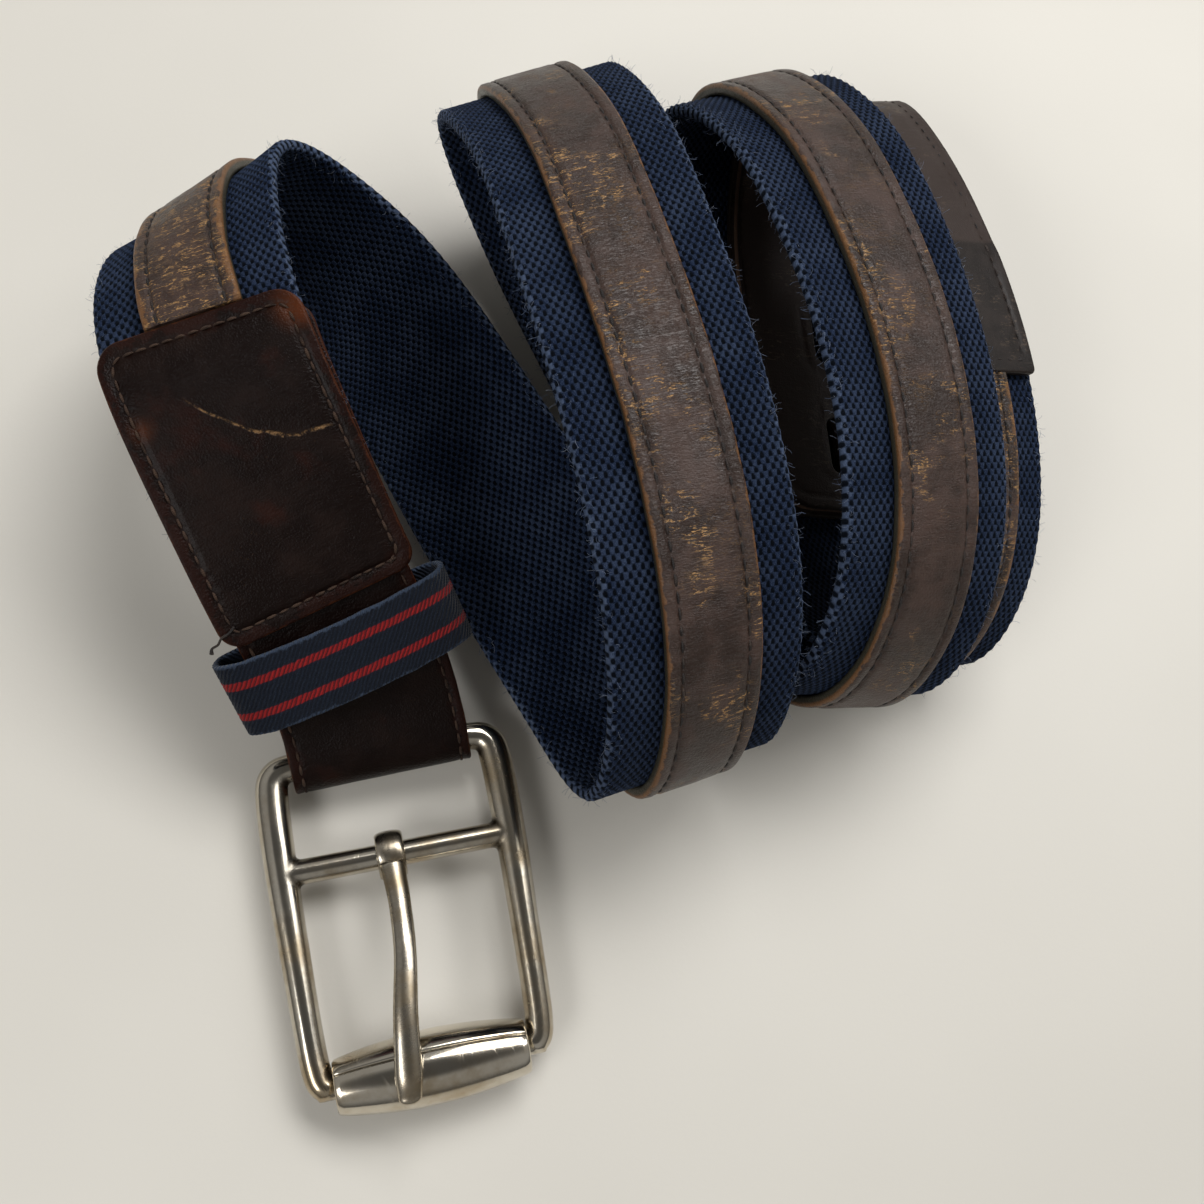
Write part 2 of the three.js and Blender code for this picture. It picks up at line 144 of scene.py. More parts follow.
# making meshes
def makePiece(name, points, faces, flat=None, edge=None):
    mesh = bpy.data.meshes.new(name)
    mesh.from_pydata([tuple(p) for p in points], [], faces)
    if flat is not None:
        mesh.attributes.new("flat", "FLOAT_VECTOR", "POINT").data.foreach_set("vector", np.ravel(flat).astype("f"))
    if edge is not None:
        mesh.attributes.new("edge", "FLOAT", "POINT").data.foreach_set("value", np.asarray(edge, "f"))
    mesh.polygons.foreach_set("use_smooth", [True] * len(mesh.polygons))
    piece = bpy.data.objects.new(name, mesh)
    bpy.context.scene.collection.objects.link(piece)
    return piece


# faces between rings of points, in order
def skinFaces(rings, count, closedLoop=False):
    faces = []
    for i in range(rings if closedLoop else rings - 1):
        a, b = i * count, (i + 1) % rings * count
        faces += [(a + k, a + (k + 1) % count, b + (k + 1) % count, b + k) for k in range(count)]
    return faces


# a fan of faces over the end of a band or rod
def capFaces(ring, centre, turned):
    pairs = zip(ring, ring[1:] + ring[:1])
    return [(b, a, centre) if turned else (a, b, centre) for a, b in pairs]


# a band on the strap: section gives across and out for one station, each ring in the same order
def bandPiece(name, alongs, section, place=onStrap, edgeOf=None):
    flat = []
    for along in alongs:
        ring = section(along)
        flat += [(across, along, out) for across, out in ring]
    count = len(flat) // len(alongs)
    rings = len(alongs)
    for end in (0, rings - 1):
        flat.append(tuple(np.mean(flat[end * count : (end + 1) * count], axis=0)))
    flat = np.array(flat)
    points = place(flat[:, 1], flat[:, 0], flat[:, 2])
    faces = skinFaces(rings, count)
    faces += capFaces(list(range(count)), rings * count, True)
    faces += capFaces(list(range((rings - 1) * count, rings * count)), rings * count + 1, False)
    return makePiece(name, points, faces, flat, None if edgeOf is None else edgeOf(flat))


# faces all turned outwards, for a closed skin
def faceOutwards(piece):
    work = bmesh.new()
    work.from_mesh(piece.data)
    bmesh.ops.recalc_face_normals(work, faces=work.faces)
    work.to_mesh(piece.data)
    work.free()
    return piece


# rounded outline of a flat patch: corners in order, each with its radius
def roundedOutline(width, start, end, nearRadius, farRadius, steps=8):
    half = width / 2
    points = []
    for x, y, radius, first in [
        (half, start, nearRadius, -90), (half, end, farRadius, 0), (-half, end, farRadius, 90), (
            -half, start, nearRadius, 180
        ),
    ]:
        cx, cy = x - math.copysign(radius, x), y + radius * (1 if y == start else -1)
        for k in range(steps + 1):
            angle = math.radians(first + 90 * k / steps)
            points.append((cx + radius * math.cos(angle), cy + radius * math.sin(angle)))
    return points


def distanceToOutline(points, outlines):
    nearest = np.full(len(points), 1e9)
    for outline in outlines:
        corners = np.array(outline)
        for a, b in zip(corners, np.roll(corners, -1, axis=0)):
            run = b - a
            share = np.clip(((points - a) @ run) / max(run @ run, 1e-12), 0, 1)
            nearest = np.minimum(nearest, np.linalg.norm(points - a - share[:, None] * run, axis=1))
    return nearest


# a round or oval rod along a smooth line: points in mm from the top bar, radii along and across Z
def rodMesh(places, radii, steps=90, sides=28):
    places, radii = np.array(places, float), np.array(radii, float)
    line = np.vstack([2 * places[0] - places[1], places, 2 * places[-1] - places[-2]])
    at = np.linspace(0, len(places) - 1, steps)
    k = np.minimum(at.astype(int), len(places) - 2)
    u = (at - k)[:, None]
    p0, p1, p2, p3 = (line[k + n] for n in range(4))
    path = 0.5 * (
        2 * p1 + (p2 - p0) * u + (2 * p0 - 5 * p1 + 4 * p2 - p3) * u**2 + (3 * p1 - p0 - 3 * p2 + p3) * u**3
    )
    size = np.stack([np.interp(at, range(len(radii)), radii[:, n]) for n in (0, 1)], -1)
    tangent = unit(np.gradient(path, axis=0))
    side = unit(np.cross((0.0, 0.0, 1.0), tangent))
    rise = np.cross(tangent, side)
    angles = 2 * np.pi * np.arange(sides) / sides
    rings = path[:, None] + side[:, None] * (
        size[:, 0, None] * np.cos(angles)
    )[..., None] + rise[:, None] * (size[:, 1, None] * np.sin(angles))[..., None]
    points = np.vstack([rings.reshape(-1, 3), path[:1], path[-1:]])
    faces = skinFaces(steps, sides)
    faces += capFaces(list(range(sides)), steps * sides, True)
    faces += capFaces(list(range((steps - 1) * sides, steps * sides)), steps * sides + 1, False)
    return points, faces


# a patch of leather cut from its outline, with rounded edges, laid on the strap
def patchPiece(name, outline, holes, inner, outer, roundness, cell, shape):
    curve = bpy.data.curves.new(name, "CURVE")
    curve.dimensions, curve.fill_mode = "2D", "BOTH"
    thickness = outer - inner
    curve.extrude = thickness / 2 - roundness
    curve.bevel_depth, curve.bevel_resolution, curve.offset = roundness, 2, -roundness
    for ring in [outline, *holes]:
        spline = curve.splines.new("POLY")
        spline.points.add(len(ring) - 1)
        spline.points.foreach_set("co", np.ravel([(x, y, 0, 1) for x, y in ring]))
        spline.use_cyclic_u = True
    stencil = bpy.data.objects.new(name + "Stencil", curve)
    bpy.context.scene.collection.objects.link(stencil)
    flatMesh = bpy.data.meshes.new_from_object(stencil.evaluated_get(bpy.context.evaluated_depsgraph_get()))
    bpy.data.objects.remove(stencil)
    work = bmesh.new()
    work.from_mesh(flatMesh)
    bmesh.ops.remove_doubles(work, verts=work.verts, dist=0.002)
    corners = np.array([v.co for v in work.verts])
    for axis in (0, 1):
        for cut in np.arange(corners[:, axis].min() + cell, corners[:, axis].max(), cell):
            normal = Vector((1, 0, 0)) if axis == 0 else Vector((0, 1, 0))
            bmesh.ops.bisect_plane(
                work, geom=work.verts[:] + work.edges[:] + work.faces[:], dist=1e-4, plane_co=normal * float(cut),
                plane_no=normal,
            )
    bmesh.ops.recalc_face_normals(work, faces=work.faces)
    work.verts.ensure_lookup_table()
    flat = np.array([v.co for v in work.verts])
    edge = distanceToOutline(flat[:, :2], [outline, *holes])
    flat[:, 2] += (inner + outer) / 2
    lift = shape(flat, edge, np.clip((flat[:, 2] - inner) / thickness, 0, 1))
    points = onStrap(flat[:, 1], flat[:, 0], flat[:, 2] + lift)
    faces = [[v.index for v in face.verts] for face in work.faces]
    work.free()
    bpy.data.meshes.remove(flatMesh)
    return makePiece(name, points, faces, flat, edge)


def finishPiece(piece, body, nodes, material):
    piece.data.materials.clear()
    piece.data.materials.append(material)
    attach(piece, body)
    if nodes:
        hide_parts(*nodes)
    return piece


# node building
def put(tree, kind, props=None, **inputs):
    node = tree.nodes.new(kind)
    for key, value in (props or {}).items():
        setattr(node, key, value)
    for key, value in inputs.items():
        socket = node.inputs[int(key[1:])] if key[1:].isdigit() else node.inputs[key.replace("_", " ")]
        if isinstance(value, bpy.types.NodeSocket):
            tree.links.new(value, socket)
        else:
            socket.default_value = value
    return node


def maths(tree, operation, a, b=0.0):
    return put(tree, "ShaderNodeMath", {"operation": operation}, i0=a, i1=b).outputs[0]


def times(tree, a, b):
    return maths(tree, "MULTIPLY", a, b)


def plus(tree, a, b):
    return maths(tree, "ADD", a, b)


def minus(tree, a, b):
    return maths(tree, "SUBTRACT", a, b)


def larger(tree, a, b):
    return maths(tree, "MAXIMUM", a, b)


def distanceFrom(tree, a, b):
    return maths(tree, "ABSOLUTE", minus(tree, a, b))


def separate(tree, vector):
    return put(tree, "ShaderNodeSeparateXYZ", None, i0=vector).outputs


def vectorMaths(tree, operation, a, b):
    return put(tree, "ShaderNodeVectorMath", {"operation": operation}, i0=a, i1=b).outputs[0]


def blendColour(tree, share, a, b):
    return put(tree, "ShaderNodeMix", {"data_type": "RGBA"}, i0=share, i6=a, i7=b).outputs[2]


def blendValue(tree, share, a, b):
    return put(tree, "ShaderNodeMix", {"data_type": "FLOAT"}, i0=share, i2=a, i3=b).outputs[0]


def remap(tree, value, low, high, toLow=0.0, toHigh=1.0):
    node = put(
        tree, "ShaderNodeMapRange", {"interpolation_type": "SMOOTHSTEP"}, i0=value, i1=low, i2=high, i3=toLow,
        i4=toHigh,
    )
    return node.outputs[0]


def noiseValue(tree, vector, scale, detail=3.0, roughness=0.55):
    return put(
        tree, "ShaderNodeTexNoise", None, Vector=vector, Scale=scale, Detail=detail, Roughness=roughness
    ).outputs[0]


# columns by how far each node is from the start, so that a tree opens readable
def arrange(tree):
    depth = {}

    def depthOf(node):
        if node not in depth:
            depth[node] = 0
            depth[node] = max([depthOf(l.from_node) + 1 for s in node.inputs for l in s.links] or [0])
        return depth[node]

    rows = {}
    for node in tree.nodes:
        column = depthOf(node)
        node.location = (column * 220, -rows.get(column, 0) * 190)
        rows[column] = rows.get(column, 0) + 1


def shaderGroup(name, inputs, outputs, build):
    tree = bpy.data.node_groups.new(name, "ShaderNodeTree")
    kinds = {"vector": "NodeSocketVector", "value": "NodeSocketFloat", "colour": "NodeSocketColor"}
    for label, kind, value in inputs:
        socket = tree.interface.new_socket(label, in_out="INPUT", socket_type=kinds[kind])
        if value is not None:
            socket.default_value = value
    for label, kind in outputs:
        tree.interface.new_socket(label, in_out="OUTPUT", socket_type=kinds[kind])
    given = tree.nodes.new("NodeGroupInput")
    results = build(tree, given.outputs)
    end = tree.nodes.new("NodeGroupOutput")
    for label, socket in results.items():
        tree.links.new(socket, end.inputs[label])
    arrange(tree)
    return tree


def useGroup(tree, group, **inputs):
    node = tree.nodes.new("ShaderNodeGroup")
    node.node_tree = group
    for key, value in inputs.items():
        socket = node.inputs[key.replace("_", " ")]
        if isinstance(value, bpy.types.NodeSocket):
            tree.links.new(value, socket)
        else:
            socket.default_value = value
    return node.outputs


def buildPlainWeave(tree, given):
    cells = separate(tree, vectorMaths(tree, "DIVIDE", given["Flat"], given["Thread Pitch"]))
    wobble = minus(tree, noiseValue(tree, given["Flat"], 0.35, 2), 0.5)
    u = plus(tree, cells[0], times(tree, wobble, 0.5))
    v = plus(tree, cells[1], times(tree, wobble, 0.7))
    waveU = maths(tree, "SINE", times(tree, u, math.pi))
    waveV = maths(tree, "SINE", times(tree, v, math.pi))
    checker = times(tree, waveU, waveV)  # above 0 the lengthwise thread is on top
    roundU = maths(tree, "POWER", maths(tree, "ABSOLUTE", waveU), 0.6)
    roundV = maths(tree, "POWER", maths(tree, "ABSOLUTE", waveV), 0.6)
    onTop = remap(tree, checker, -0.25, 0.3)
    height = blendValue(tree, onTop, times(tree, roundV, 0.45), plus(tree, times(tree, roundU, 0.5), 0.5))
    # painted shade: the hollows between the threads, where shade falls, are marked to be darkened
    gap = remap(tree, checker, 0.25, -0.5)
    fine = vectorMaths(tree, "MULTIPLY", given["Flat"], (7.0, 2.2, 1.0))
    fibres = noiseValue(tree, fine, 1.6, 4, 0.65)
    height = plus(tree, height, times(tree, fibres, 0.35))
    return {"Height": height, "Gap": gap, "Fibres": fibres}


def buildLeatherGrain(tree, given):
    pebble = put(
        tree, "ShaderNodeTexVoronoi", {"feature": "SMOOTH_F1"}, Vector=given["Flat"], Scale=given["Grain Scale"],
        Smoothness=0.6,
    )
    pores = noiseValue(tree, given["Flat"], 3.1, 5, 0.7)
    mottle = noiseValue(tree, given["Flat"], 0.11, 5, 0.62)
    wrinkle = noiseValue(tree, vectorMaths(tree, "MULTIPLY", given["Flat"], (0.28, 1.0, 0.4)), 0.9, 4, 0.6)
    height = plus(tree, times(tree, pebble.outputs[0], 0.7), times(tree, pores, 0.5))
    height = plus(tree, height, times(tree, wrinkle, 1.1))
    return {"Height": height, "Mottle": mottle, "Pores": pores}


# broken wear that starts at a cut edge
def buildEdgeWear(tree, given):
    rag = noiseValue(tree, given["Flat"], given["Break Up"], 5, 0.7)
    reach = times(tree, given["Width"], times(tree, remap(tree, rag, 0.3, 0.72), 2.0))
    share = maths(tree, "DIVIDE", given["Edge Distance"], larger(tree, reach, 0.01))
    return {"Wear": remap(tree, share, 1.0, 0.45)}


# short torn lines across a bent leather strap
def buildCreases(tree, given):
    stretched = vectorMaths(tree, "MULTIPLY", given["Flat"], (0.17, 0.95, 0.5))
    lines = noiseValue(tree, stretched, given["Line Scale"], 4, 0.6)
    thin = distanceFrom(tree, lines, 0.5)
    patches = plus(tree, noiseValue(tree, given["Flat"], 0.075, 3, 0.5), given["Spread"])
    broken = noiseValue(tree, given["Flat"], 0.55, 3, 0.6)
    line = remap(tree, thin, 0.02, 0.005)
    shown = times(tree, remap(tree, patches, 0.5, 0.62), remap(tree, broken, 0.44, 0.54))
    crack = times(tree, line, shown)
    furrow = times(tree, remap(tree, thin, 0.06, 0.0), remap(tree, patches, 0.3, 0.6, 0.35, 1.0))
    return {"Crack": crack, "Furrow": furrow}


def buildScratches(tree, given):
    total = None
    for turn, stretch, seed in ((12, (60, 3, 3), 1.0), (65, (70, 4, 4), 2.0), (-38, (50, 3, 3), 3.0)):
        turned = put(
            tree, "ShaderNodeMapping", {"vector_type": "POINT"}, Vector=given["Position"], Location=(seed, seed, 0),
            Rotation=(0.4 * seed, 0.2, math.radians(turn)),
        ).outputs[0]
        fine = noiseValue(tree, vectorMaths(tree, "MULTIPLY", turned, stretch), given["Line Scale"], 2, 0.5)
        line = remap(tree, distanceFrom(tree, fine, 0.5), 0.012, 0.003)
        line = times(tree, line, remap(tree, noiseValue(tree, turned, 90.0, 2), 0.58, 0.7))
        total = line if total is None else larger(tree, total, line)
    return {"Scratch": total}


def buildDust(tree, given):
    specks = noiseValue(tree, given["Flat"], 1.9, 5, 0.75)
    patches = noiseValue(tree, given["Flat"], 0.13, 3, 0.5)
    mask = times(tree, remap(tree, specks, 0.63, 0.72), remap(tree, patches, 0.45, 0.65))
    return {"Mask": times(tree, mask, given["Amount"])}


plainWeave = shaderGroup(
    "plainWeave",
    [("Flat", "vector", None), ("Thread Pitch", "vector", (0.811, 1.15, 1.0))],
    [("Height", "value"), ("Gap", "value"), ("Fibres", "value")],
    buildPlainWeave,
)
leatherGrain = shaderGroup(
    "leatherGrain",
    [("Flat", "vector", None), ("Grain Scale", "value", 1.6)],
    [("Height", "value"), ("Mottle", "value"), ("Pores", "value")],
    buildLeatherGrain,
)
edgeWear = shaderGroup(
    "edgeWear",
    [("Flat", "vector", None), ("Edge Distance", "value", 5.0), ("Width", "value", 0.5), ("Break Up", "value", 0.6)],
    [("Wear", "value")],
    buildEdgeWear,
)
creases = shaderGroup(
    "creases",
    [("Flat", "vector", None), ("Line Scale", "value", 1.0), ("Spread", "value", 0.0)],
    [("Crack", "value"), ("Furrow", "value")],
    buildCreases,
)
fineScratches = shaderGroup(
    "fineScratches",
    [("Position", "vector", None), ("Line Scale", "value", 9.0)],
    [("Scratch", "value")],
    buildScratches,
)
dust = shaderGroup("dust", [("Flat", "vector", None), ("Amount", "value", 0.3)], [("Mask", "value")], buildDust)


# a Principled material, filled in by build(tree, shader)
def newMaterial(name, build, **constants):
    material = bpy.data.materials.new(name)
    material.use_nodes = True
    tree = material.node_tree
    shader = tree.nodes["Principled BSDF"]
    for key, value in constants.items():
        shader.inputs[key.replace("_", " ")].default_value = value
    build(tree, shader)
    arrange(tree)
    return material


def readAttribute(tree, name):
    return put(tree, "ShaderNodeAttribute", {"attribute_name": name}).outputs


def wire(tree, shader, **sockets):
    for key, socket in sockets.items():
        tree.links.new(socket, shader.inputs[key.replace("_", " ")])


def bump(tree, height, distance, strength=1.0):
    return put(tree, "ShaderNodeBump", None, Strength=strength, Distance=distance * mm, Height=height).outputs[0]


def rgb(hexCode):
    parts = [int(hexCode[k : k + 2], 16) / 255 for k in (0, 2, 4)]
    return (*[p / 12.92 if p < 0.04045 else ((p + 0.055) / 1.055) ** 2.4 for p in parts], 1)


# finishes
# gap is a painted shade colour for the hollows between the threads
clothLook = {"thread": "141f35", "worn": "586680", "gap": "010307", "pitch": (0.811, 1.15, 1.0)}
stripLook = {
    "face": "2a1d17", "rubbed": "42312a", "crack": "b88e58", "edge": "80572f", "side": "38352a", "hole": "0c0706"
}
darkLook = {
    "face": "100705", "warm": "32130a", "rubbed": "20130e", "edge": "4a2612", "rust": "7a3d17", "scratch": "8a6a48"
}
# open is a paler tone painted on the billet past the webbing's end, a painted highlight
billetLook = {"face": "1b1614", "rubbed": "29221f", "open": "382e2a", "edge": "1a110c", "crack": "7d6a58"}
threadLook = {"dark": "120a07", "pale": "46352a"}
metalLook = {"bright": "d0c9bb", "warm": "aa9a80", "tarnish": "362e22"}
ribbonLook = {
    "ground": "0d1523", "pale": "3d4a5e", "line": "961c1d", "pitch": 0.95, "lineAt": (-3.4, 3.4), "lineHalf": 0.8
}


def buildCloth(tree, shader):
    flat, edge = readAttribute(tree, "flat"), readAttribute(tree, "edge")
    weave = useGroup(tree, plainWeave, Flat=flat[1], Thread_Pitch=clothLook["pitch"])
    tone = noiseValue(tree, flat[1], 0.09, 4, 0.6)
    fuzz = noiseValue(tree, flat[1], 2.6, 5, 0.75)
    base = blendColour(
        tree, remap(tree, tone, 0.35, 0.7, 0.0, 0.18), rgb(clothLook["thread"]), rgb(clothLook["worn"])
    )
    base = blendColour(tree, remap(tree, weave["Fibres"], 0.48, 0.74, 0.0, 0.6), base, rgb(clothLook["worn"]))
    wear = useGroup(tree, edgeWear, Flat=flat[1], Edge_Distance=edge[2], Width=1.0, Break_Up=0.5)["Wear"]
    base = blendColour(tree, times(tree, wear, 0.5), base, rgb(clothLook["worn"]))
    # painted shade: near black in the gaps between the threads
    base = blendColour(tree, times(tree, weave["Gap"], 0.97), base, rgb(clothLook["gap"]))
    wire(tree, shader, Base_Color=base, Roughness=remap(tree, fuzz, 0.3, 0.7, 0.82, 0.98))
    height = plus(tree, weave["Height"], times(tree, fuzz, 0.35))
    wire(tree, shader, Normal=bump(tree, height, 0.45))


def buildStripLeather(tree, shader):
    flat, edge = readAttribute(tree, "flat"), readAttribute(tree, "edge")
    grain = useGroup(tree, leatherGrain, Flat=flat[1], Grain_Scale=1.9)
    # the bends beside the tab and the tongue are cracked the most
    cells = separate(tree, flat[1])
    atEnds = larger(tree, remap(tree, cells[1], 150.0, 110.0), remap(tree, cells[1], 930.0, 980.0))
    spread = times(tree, atEnds, 0.2)
    crease = useGroup(tree, creases, Flat=flat[1], Line_Scale=1.0, Spread=spread)
    fineCrease = useGroup(
        tree, creases, Flat=vectorMaths(tree, "ADD", flat[1], (31.0, 7.0, 0.0)), Line_Scale=2.4, Spread=spread
    )
    wear = useGroup(
        tree, edgeWear, Flat=flat[1], Edge_Distance=edge[2], Width=plus(tree, times(tree, atEnds, 0.8), 0.5),
        Break_Up=0.33,
    )["Wear"]
    isFace = remap(tree, cells[2], centreStrip["inner"] + 1.1, centreStrip["inner"] + 1.7)
    base = blendColour(
        tree, remap(tree, grain["Mottle"], 0.38, 0.66), rgb(stripLook["face"]), rgb(stripLook["rubbed"])
    )
    crackShare = larger(tree, crease["Crack"], times(tree, fineCrease["Crack"], 0.25))
    base = blendColour(tree, times(tree, crackShare, 0.85), base, rgb(stripLook["crack"]))
    base = blendColour(tree, times(tree, wear, 0.6), base, rgb(stripLook["edge"]))
    base = blendColour(tree, remap(tree, grain["Pores"], 0.3, 0.5, 0.25, 0.0), base, rgb(stripLook["hole"]))
    base = blendColour(tree, isFace, rgb(stripLook["side"]), base)
    rough = remap(tree, grain["Mottle"], 0.35, 0.7, 0.3, 0.5)
    wire(tree, shader, Base_Color=base, Roughness=plus(tree, rough, times(tree, crackShare, 0.25)))
    height = minus(tree, grain["Height"], times(tree, plus(tree, crease["Furrow"], fineCrease["Furrow"]), 0.4))
    wire(tree, shader, Normal=bump(tree, height, 0.11))


def buildDarkLeather(tree, shader):
    flat, edge = readAttribute(tree, "flat"), readAttribute(tree, "edge")
    grain = useGroup(tree, leatherGrain, Flat=flat[1], Grain_Scale=2.6)
    specks = useGroup(tree, dust, Flat=flat[1], Amount=0.22)["Mask"]
    narrow = useGroup(tree, edgeWear, Flat=flat[1], Edge_Distance=edge[2], Width=0.32, Break_Up=0.35)["Wear"]
    wide = useGroup(tree, edgeWear, Flat=flat[1], Edge_Distance=edge[2], Width=2.6, Break_Up=0.13)["Wear"]
    base = blendColour(
        tree, remap(tree, grain["Mottle"], 0.4, 0.75, 0.0, 0.5), rgb(darkLook["face"]), rgb(darkLook["rubbed"])
    )
    warmth = larger(
        tree, times(tree, wide, 0.25), remap(tree, noiseValue(tree, flat[1], 0.09, 4), 0.56, 0.74, 0.0, 0.35)
    )
    base = blendColour(tree, warmth, base, rgb(darkLook["warm"]))
    # the dye is worn off at the tab's far corner and in one spot by its other side
    cells = separate(tree, flat[1])
    rust = None
    for place, reach in (((18.0, 86.5, 4.0), 6.5), ((-15.5, 76.0, 4.0), 4.2)):
        away = put(tree, "ShaderNodeVectorMath", {"operation": "DISTANCE"}, i0=flat[1], i1=place).outputs[1]
        spot = remap(tree, plus(tree, away, times(tree, grain["Mottle"], 5.0)), reach + 2.0, reach - 4.0)
        rust = spot if rust is None else larger(tree, rust, spot)
    base = blendColour(tree, times(tree, rust, 0.3), base, rgb(darkLook["rust"]))
    base = blendColour(tree, times(tree, narrow, 0.6), base, rgb(darkLook["edge"]))
    # one long pale scuff that bows across the tab
    fromRight = larger(tree, times(tree, minus(tree, 15.0, cells[0]), 0.0476), 0.0)
    bow = times(tree, maths(tree, "POWER", fromRight, 2.2), 12.5)
    drift = times(tree, noiseValue(tree, flat[1], 0.35, 2), 1.6)
    scuffLine = distanceFrom(tree, plus(tree, cells[1], drift), plus(tree, bow, 66.0))
    scuff = times(
        tree, remap(tree, scuffLine, 0.5, 0.1), remap(tree, noiseValue(tree, flat[1], 1.2, 4, 0.8), 0.42, 0.6)
    )
    scuff = times(tree, scuff, remap(tree, distanceFrom(tree, cells[0], 4.5), 11.5, 9.0))
    base = blendColour(tree, larger(tree, times(tree, scuff, 0.75), specks), base, rgb(darkLook["scratch"]))
    wire(
        tree, shader, Base_Color=base,
        Roughness=plus(tree, remap(tree, grain["Mottle"], 0.35, 0.7, 0.3, 0.46), times(tree, narrow, 0.2)),
    )
    wire(tree, shader, Normal=bump(tree, minus(tree, grain["Height"], times(tree, scuff, 0.8)), 0.14))


def buildBilletLeather(tree, shader):
    flat, edge = readAttribute(tree, "flat"), readAttribute(tree, "edge")
    grain = useGroup(tree, leatherGrain, Flat=flat[1], Grain_Scale=2.8)
    crease = useGroup(tree, creases, Flat=flat[1], Line_Scale=0.8)
    wear = useGroup(tree, edgeWear, Flat=flat[1], Edge_Distance=edge[2], Width=0.7, Break_Up=0.3)["Wear"]
    base = blendColour(
        tree, remap(tree, grain["Mottle"], 0.38, 0.68), rgb(billetLook["face"]), rgb(billetLook["rubbed"])
    )
    # smooth and dark over the webbing's end; past it the colour is painted paler, a painted highlight where the leather
    # turns towards the light
    along = separate(tree, flat[1])[1]
    base = blendColour(tree, remap(tree, along, 1036.6, 1038.0, 0.0, 0.8), base, rgb(billetLook["open"]))
    base = blendColour(tree, times(tree, crease["Crack"], 0.3), base, rgb(billetLook["crack"]))
    base = blendColour(tree, times(tree, wear, 0.75), base, rgb(billetLook["edge"]))
    wire(tree, shader, Base_Color=base, Roughness=remap(tree, grain["Mottle"], 0.3, 0.7, 0.38, 0.55))
    wire(tree, shader, Normal=bump(tree, grain["Height"], 0.06))


def buildBoard(tree, shader):
    flat = readAttribute(tree, "flat")
    fibre = noiseValue(tree, vectorMaths(tree, "MULTIPLY", flat[1], (1.0, 0.2, 1.0)), 3.0, 4, 0.7)
    wire(
        tree, shader, Base_Color=blendColour(tree, fibre, rgb("3d2a1f"), rgb("6d5340")), Normal=bump(tree, fibre, 0.1)
    )


def buildThread(tree, shader, share=0.25):
    position = put(tree, "ShaderNodeTexCoord").outputs["Object"]
    ply = put(
        tree, "ShaderNodeTexWave", {"bands_direction": "DIAGONAL"}, Vector=position, Scale=1500.0, Distortion=2.0,
        Detail=2.0,
    ).outputs[1]
    tone = noiseValue(tree, position, 320.0, 4, 0.7)
    soiled = remap(tree, tone, 0.45 - share, 0.75 - share)
    base = blendColour(tree, soiled, rgb(threadLook["dark"]), rgb(threadLook["pale"]))
    # painted shade: the base is darkened in the grooves between the thread's plies
    wire(
        tree, shader, Base_Color=blendColour(tree, remap(tree, ply, 0.2, 0.6, 0.45, 0.0), base, rgb("120a08")),
        Normal=bump(tree, ply, 0.06),
    )


def buildMetal(tree, shader):
    position = put(tree, "ShaderNodeTexCoord").outputs["Object"]
    nook = readAttribute(tree, "nook")[2]
    clouds = noiseValue(tree, position, 75.0, 5, 0.6)
    fine = noiseValue(tree, position, 900.0, 4, 0.7)
    scratch = useGroup(tree, fineScratches, Position=position, Line_Scale=8.0)["Scratch"]
    base = blendColour(tree, remap(tree, clouds, 0.4, 0.68), rgb(metalLook["bright"]), rgb(metalLook["warm"]))
    grime = times(tree, remap(tree, nook, 0.12, 0.55), remap(tree, fine, 0.25, 0.55, 0.5, 1.0))
    spots = remap(tree, noiseValue(tree, position, 340.0, 5, 0.75), 0.66, 0.74, 0.0, 0.5)
    base = blendColour(tree, larger(tree, grime, spots), base, rgb(metalLook["tarnish"]))
    rough = remap(tree, clouds, 0.35, 0.7, 0.1, 0.22)
    rough = plus(tree, rough, larger(tree, times(tree, grime, 0.3), times(tree, scratch, 0.12)))
    wire(tree, shader, Base_Color=base, Roughness=rough)
    wear = minus(tree, times(tree, noiseValue(tree, position, 260.0, 3), 0.7), times(tree, scratch, 0.12))
    wire(tree, shader, Normal=bump(tree, wear, 0.03))


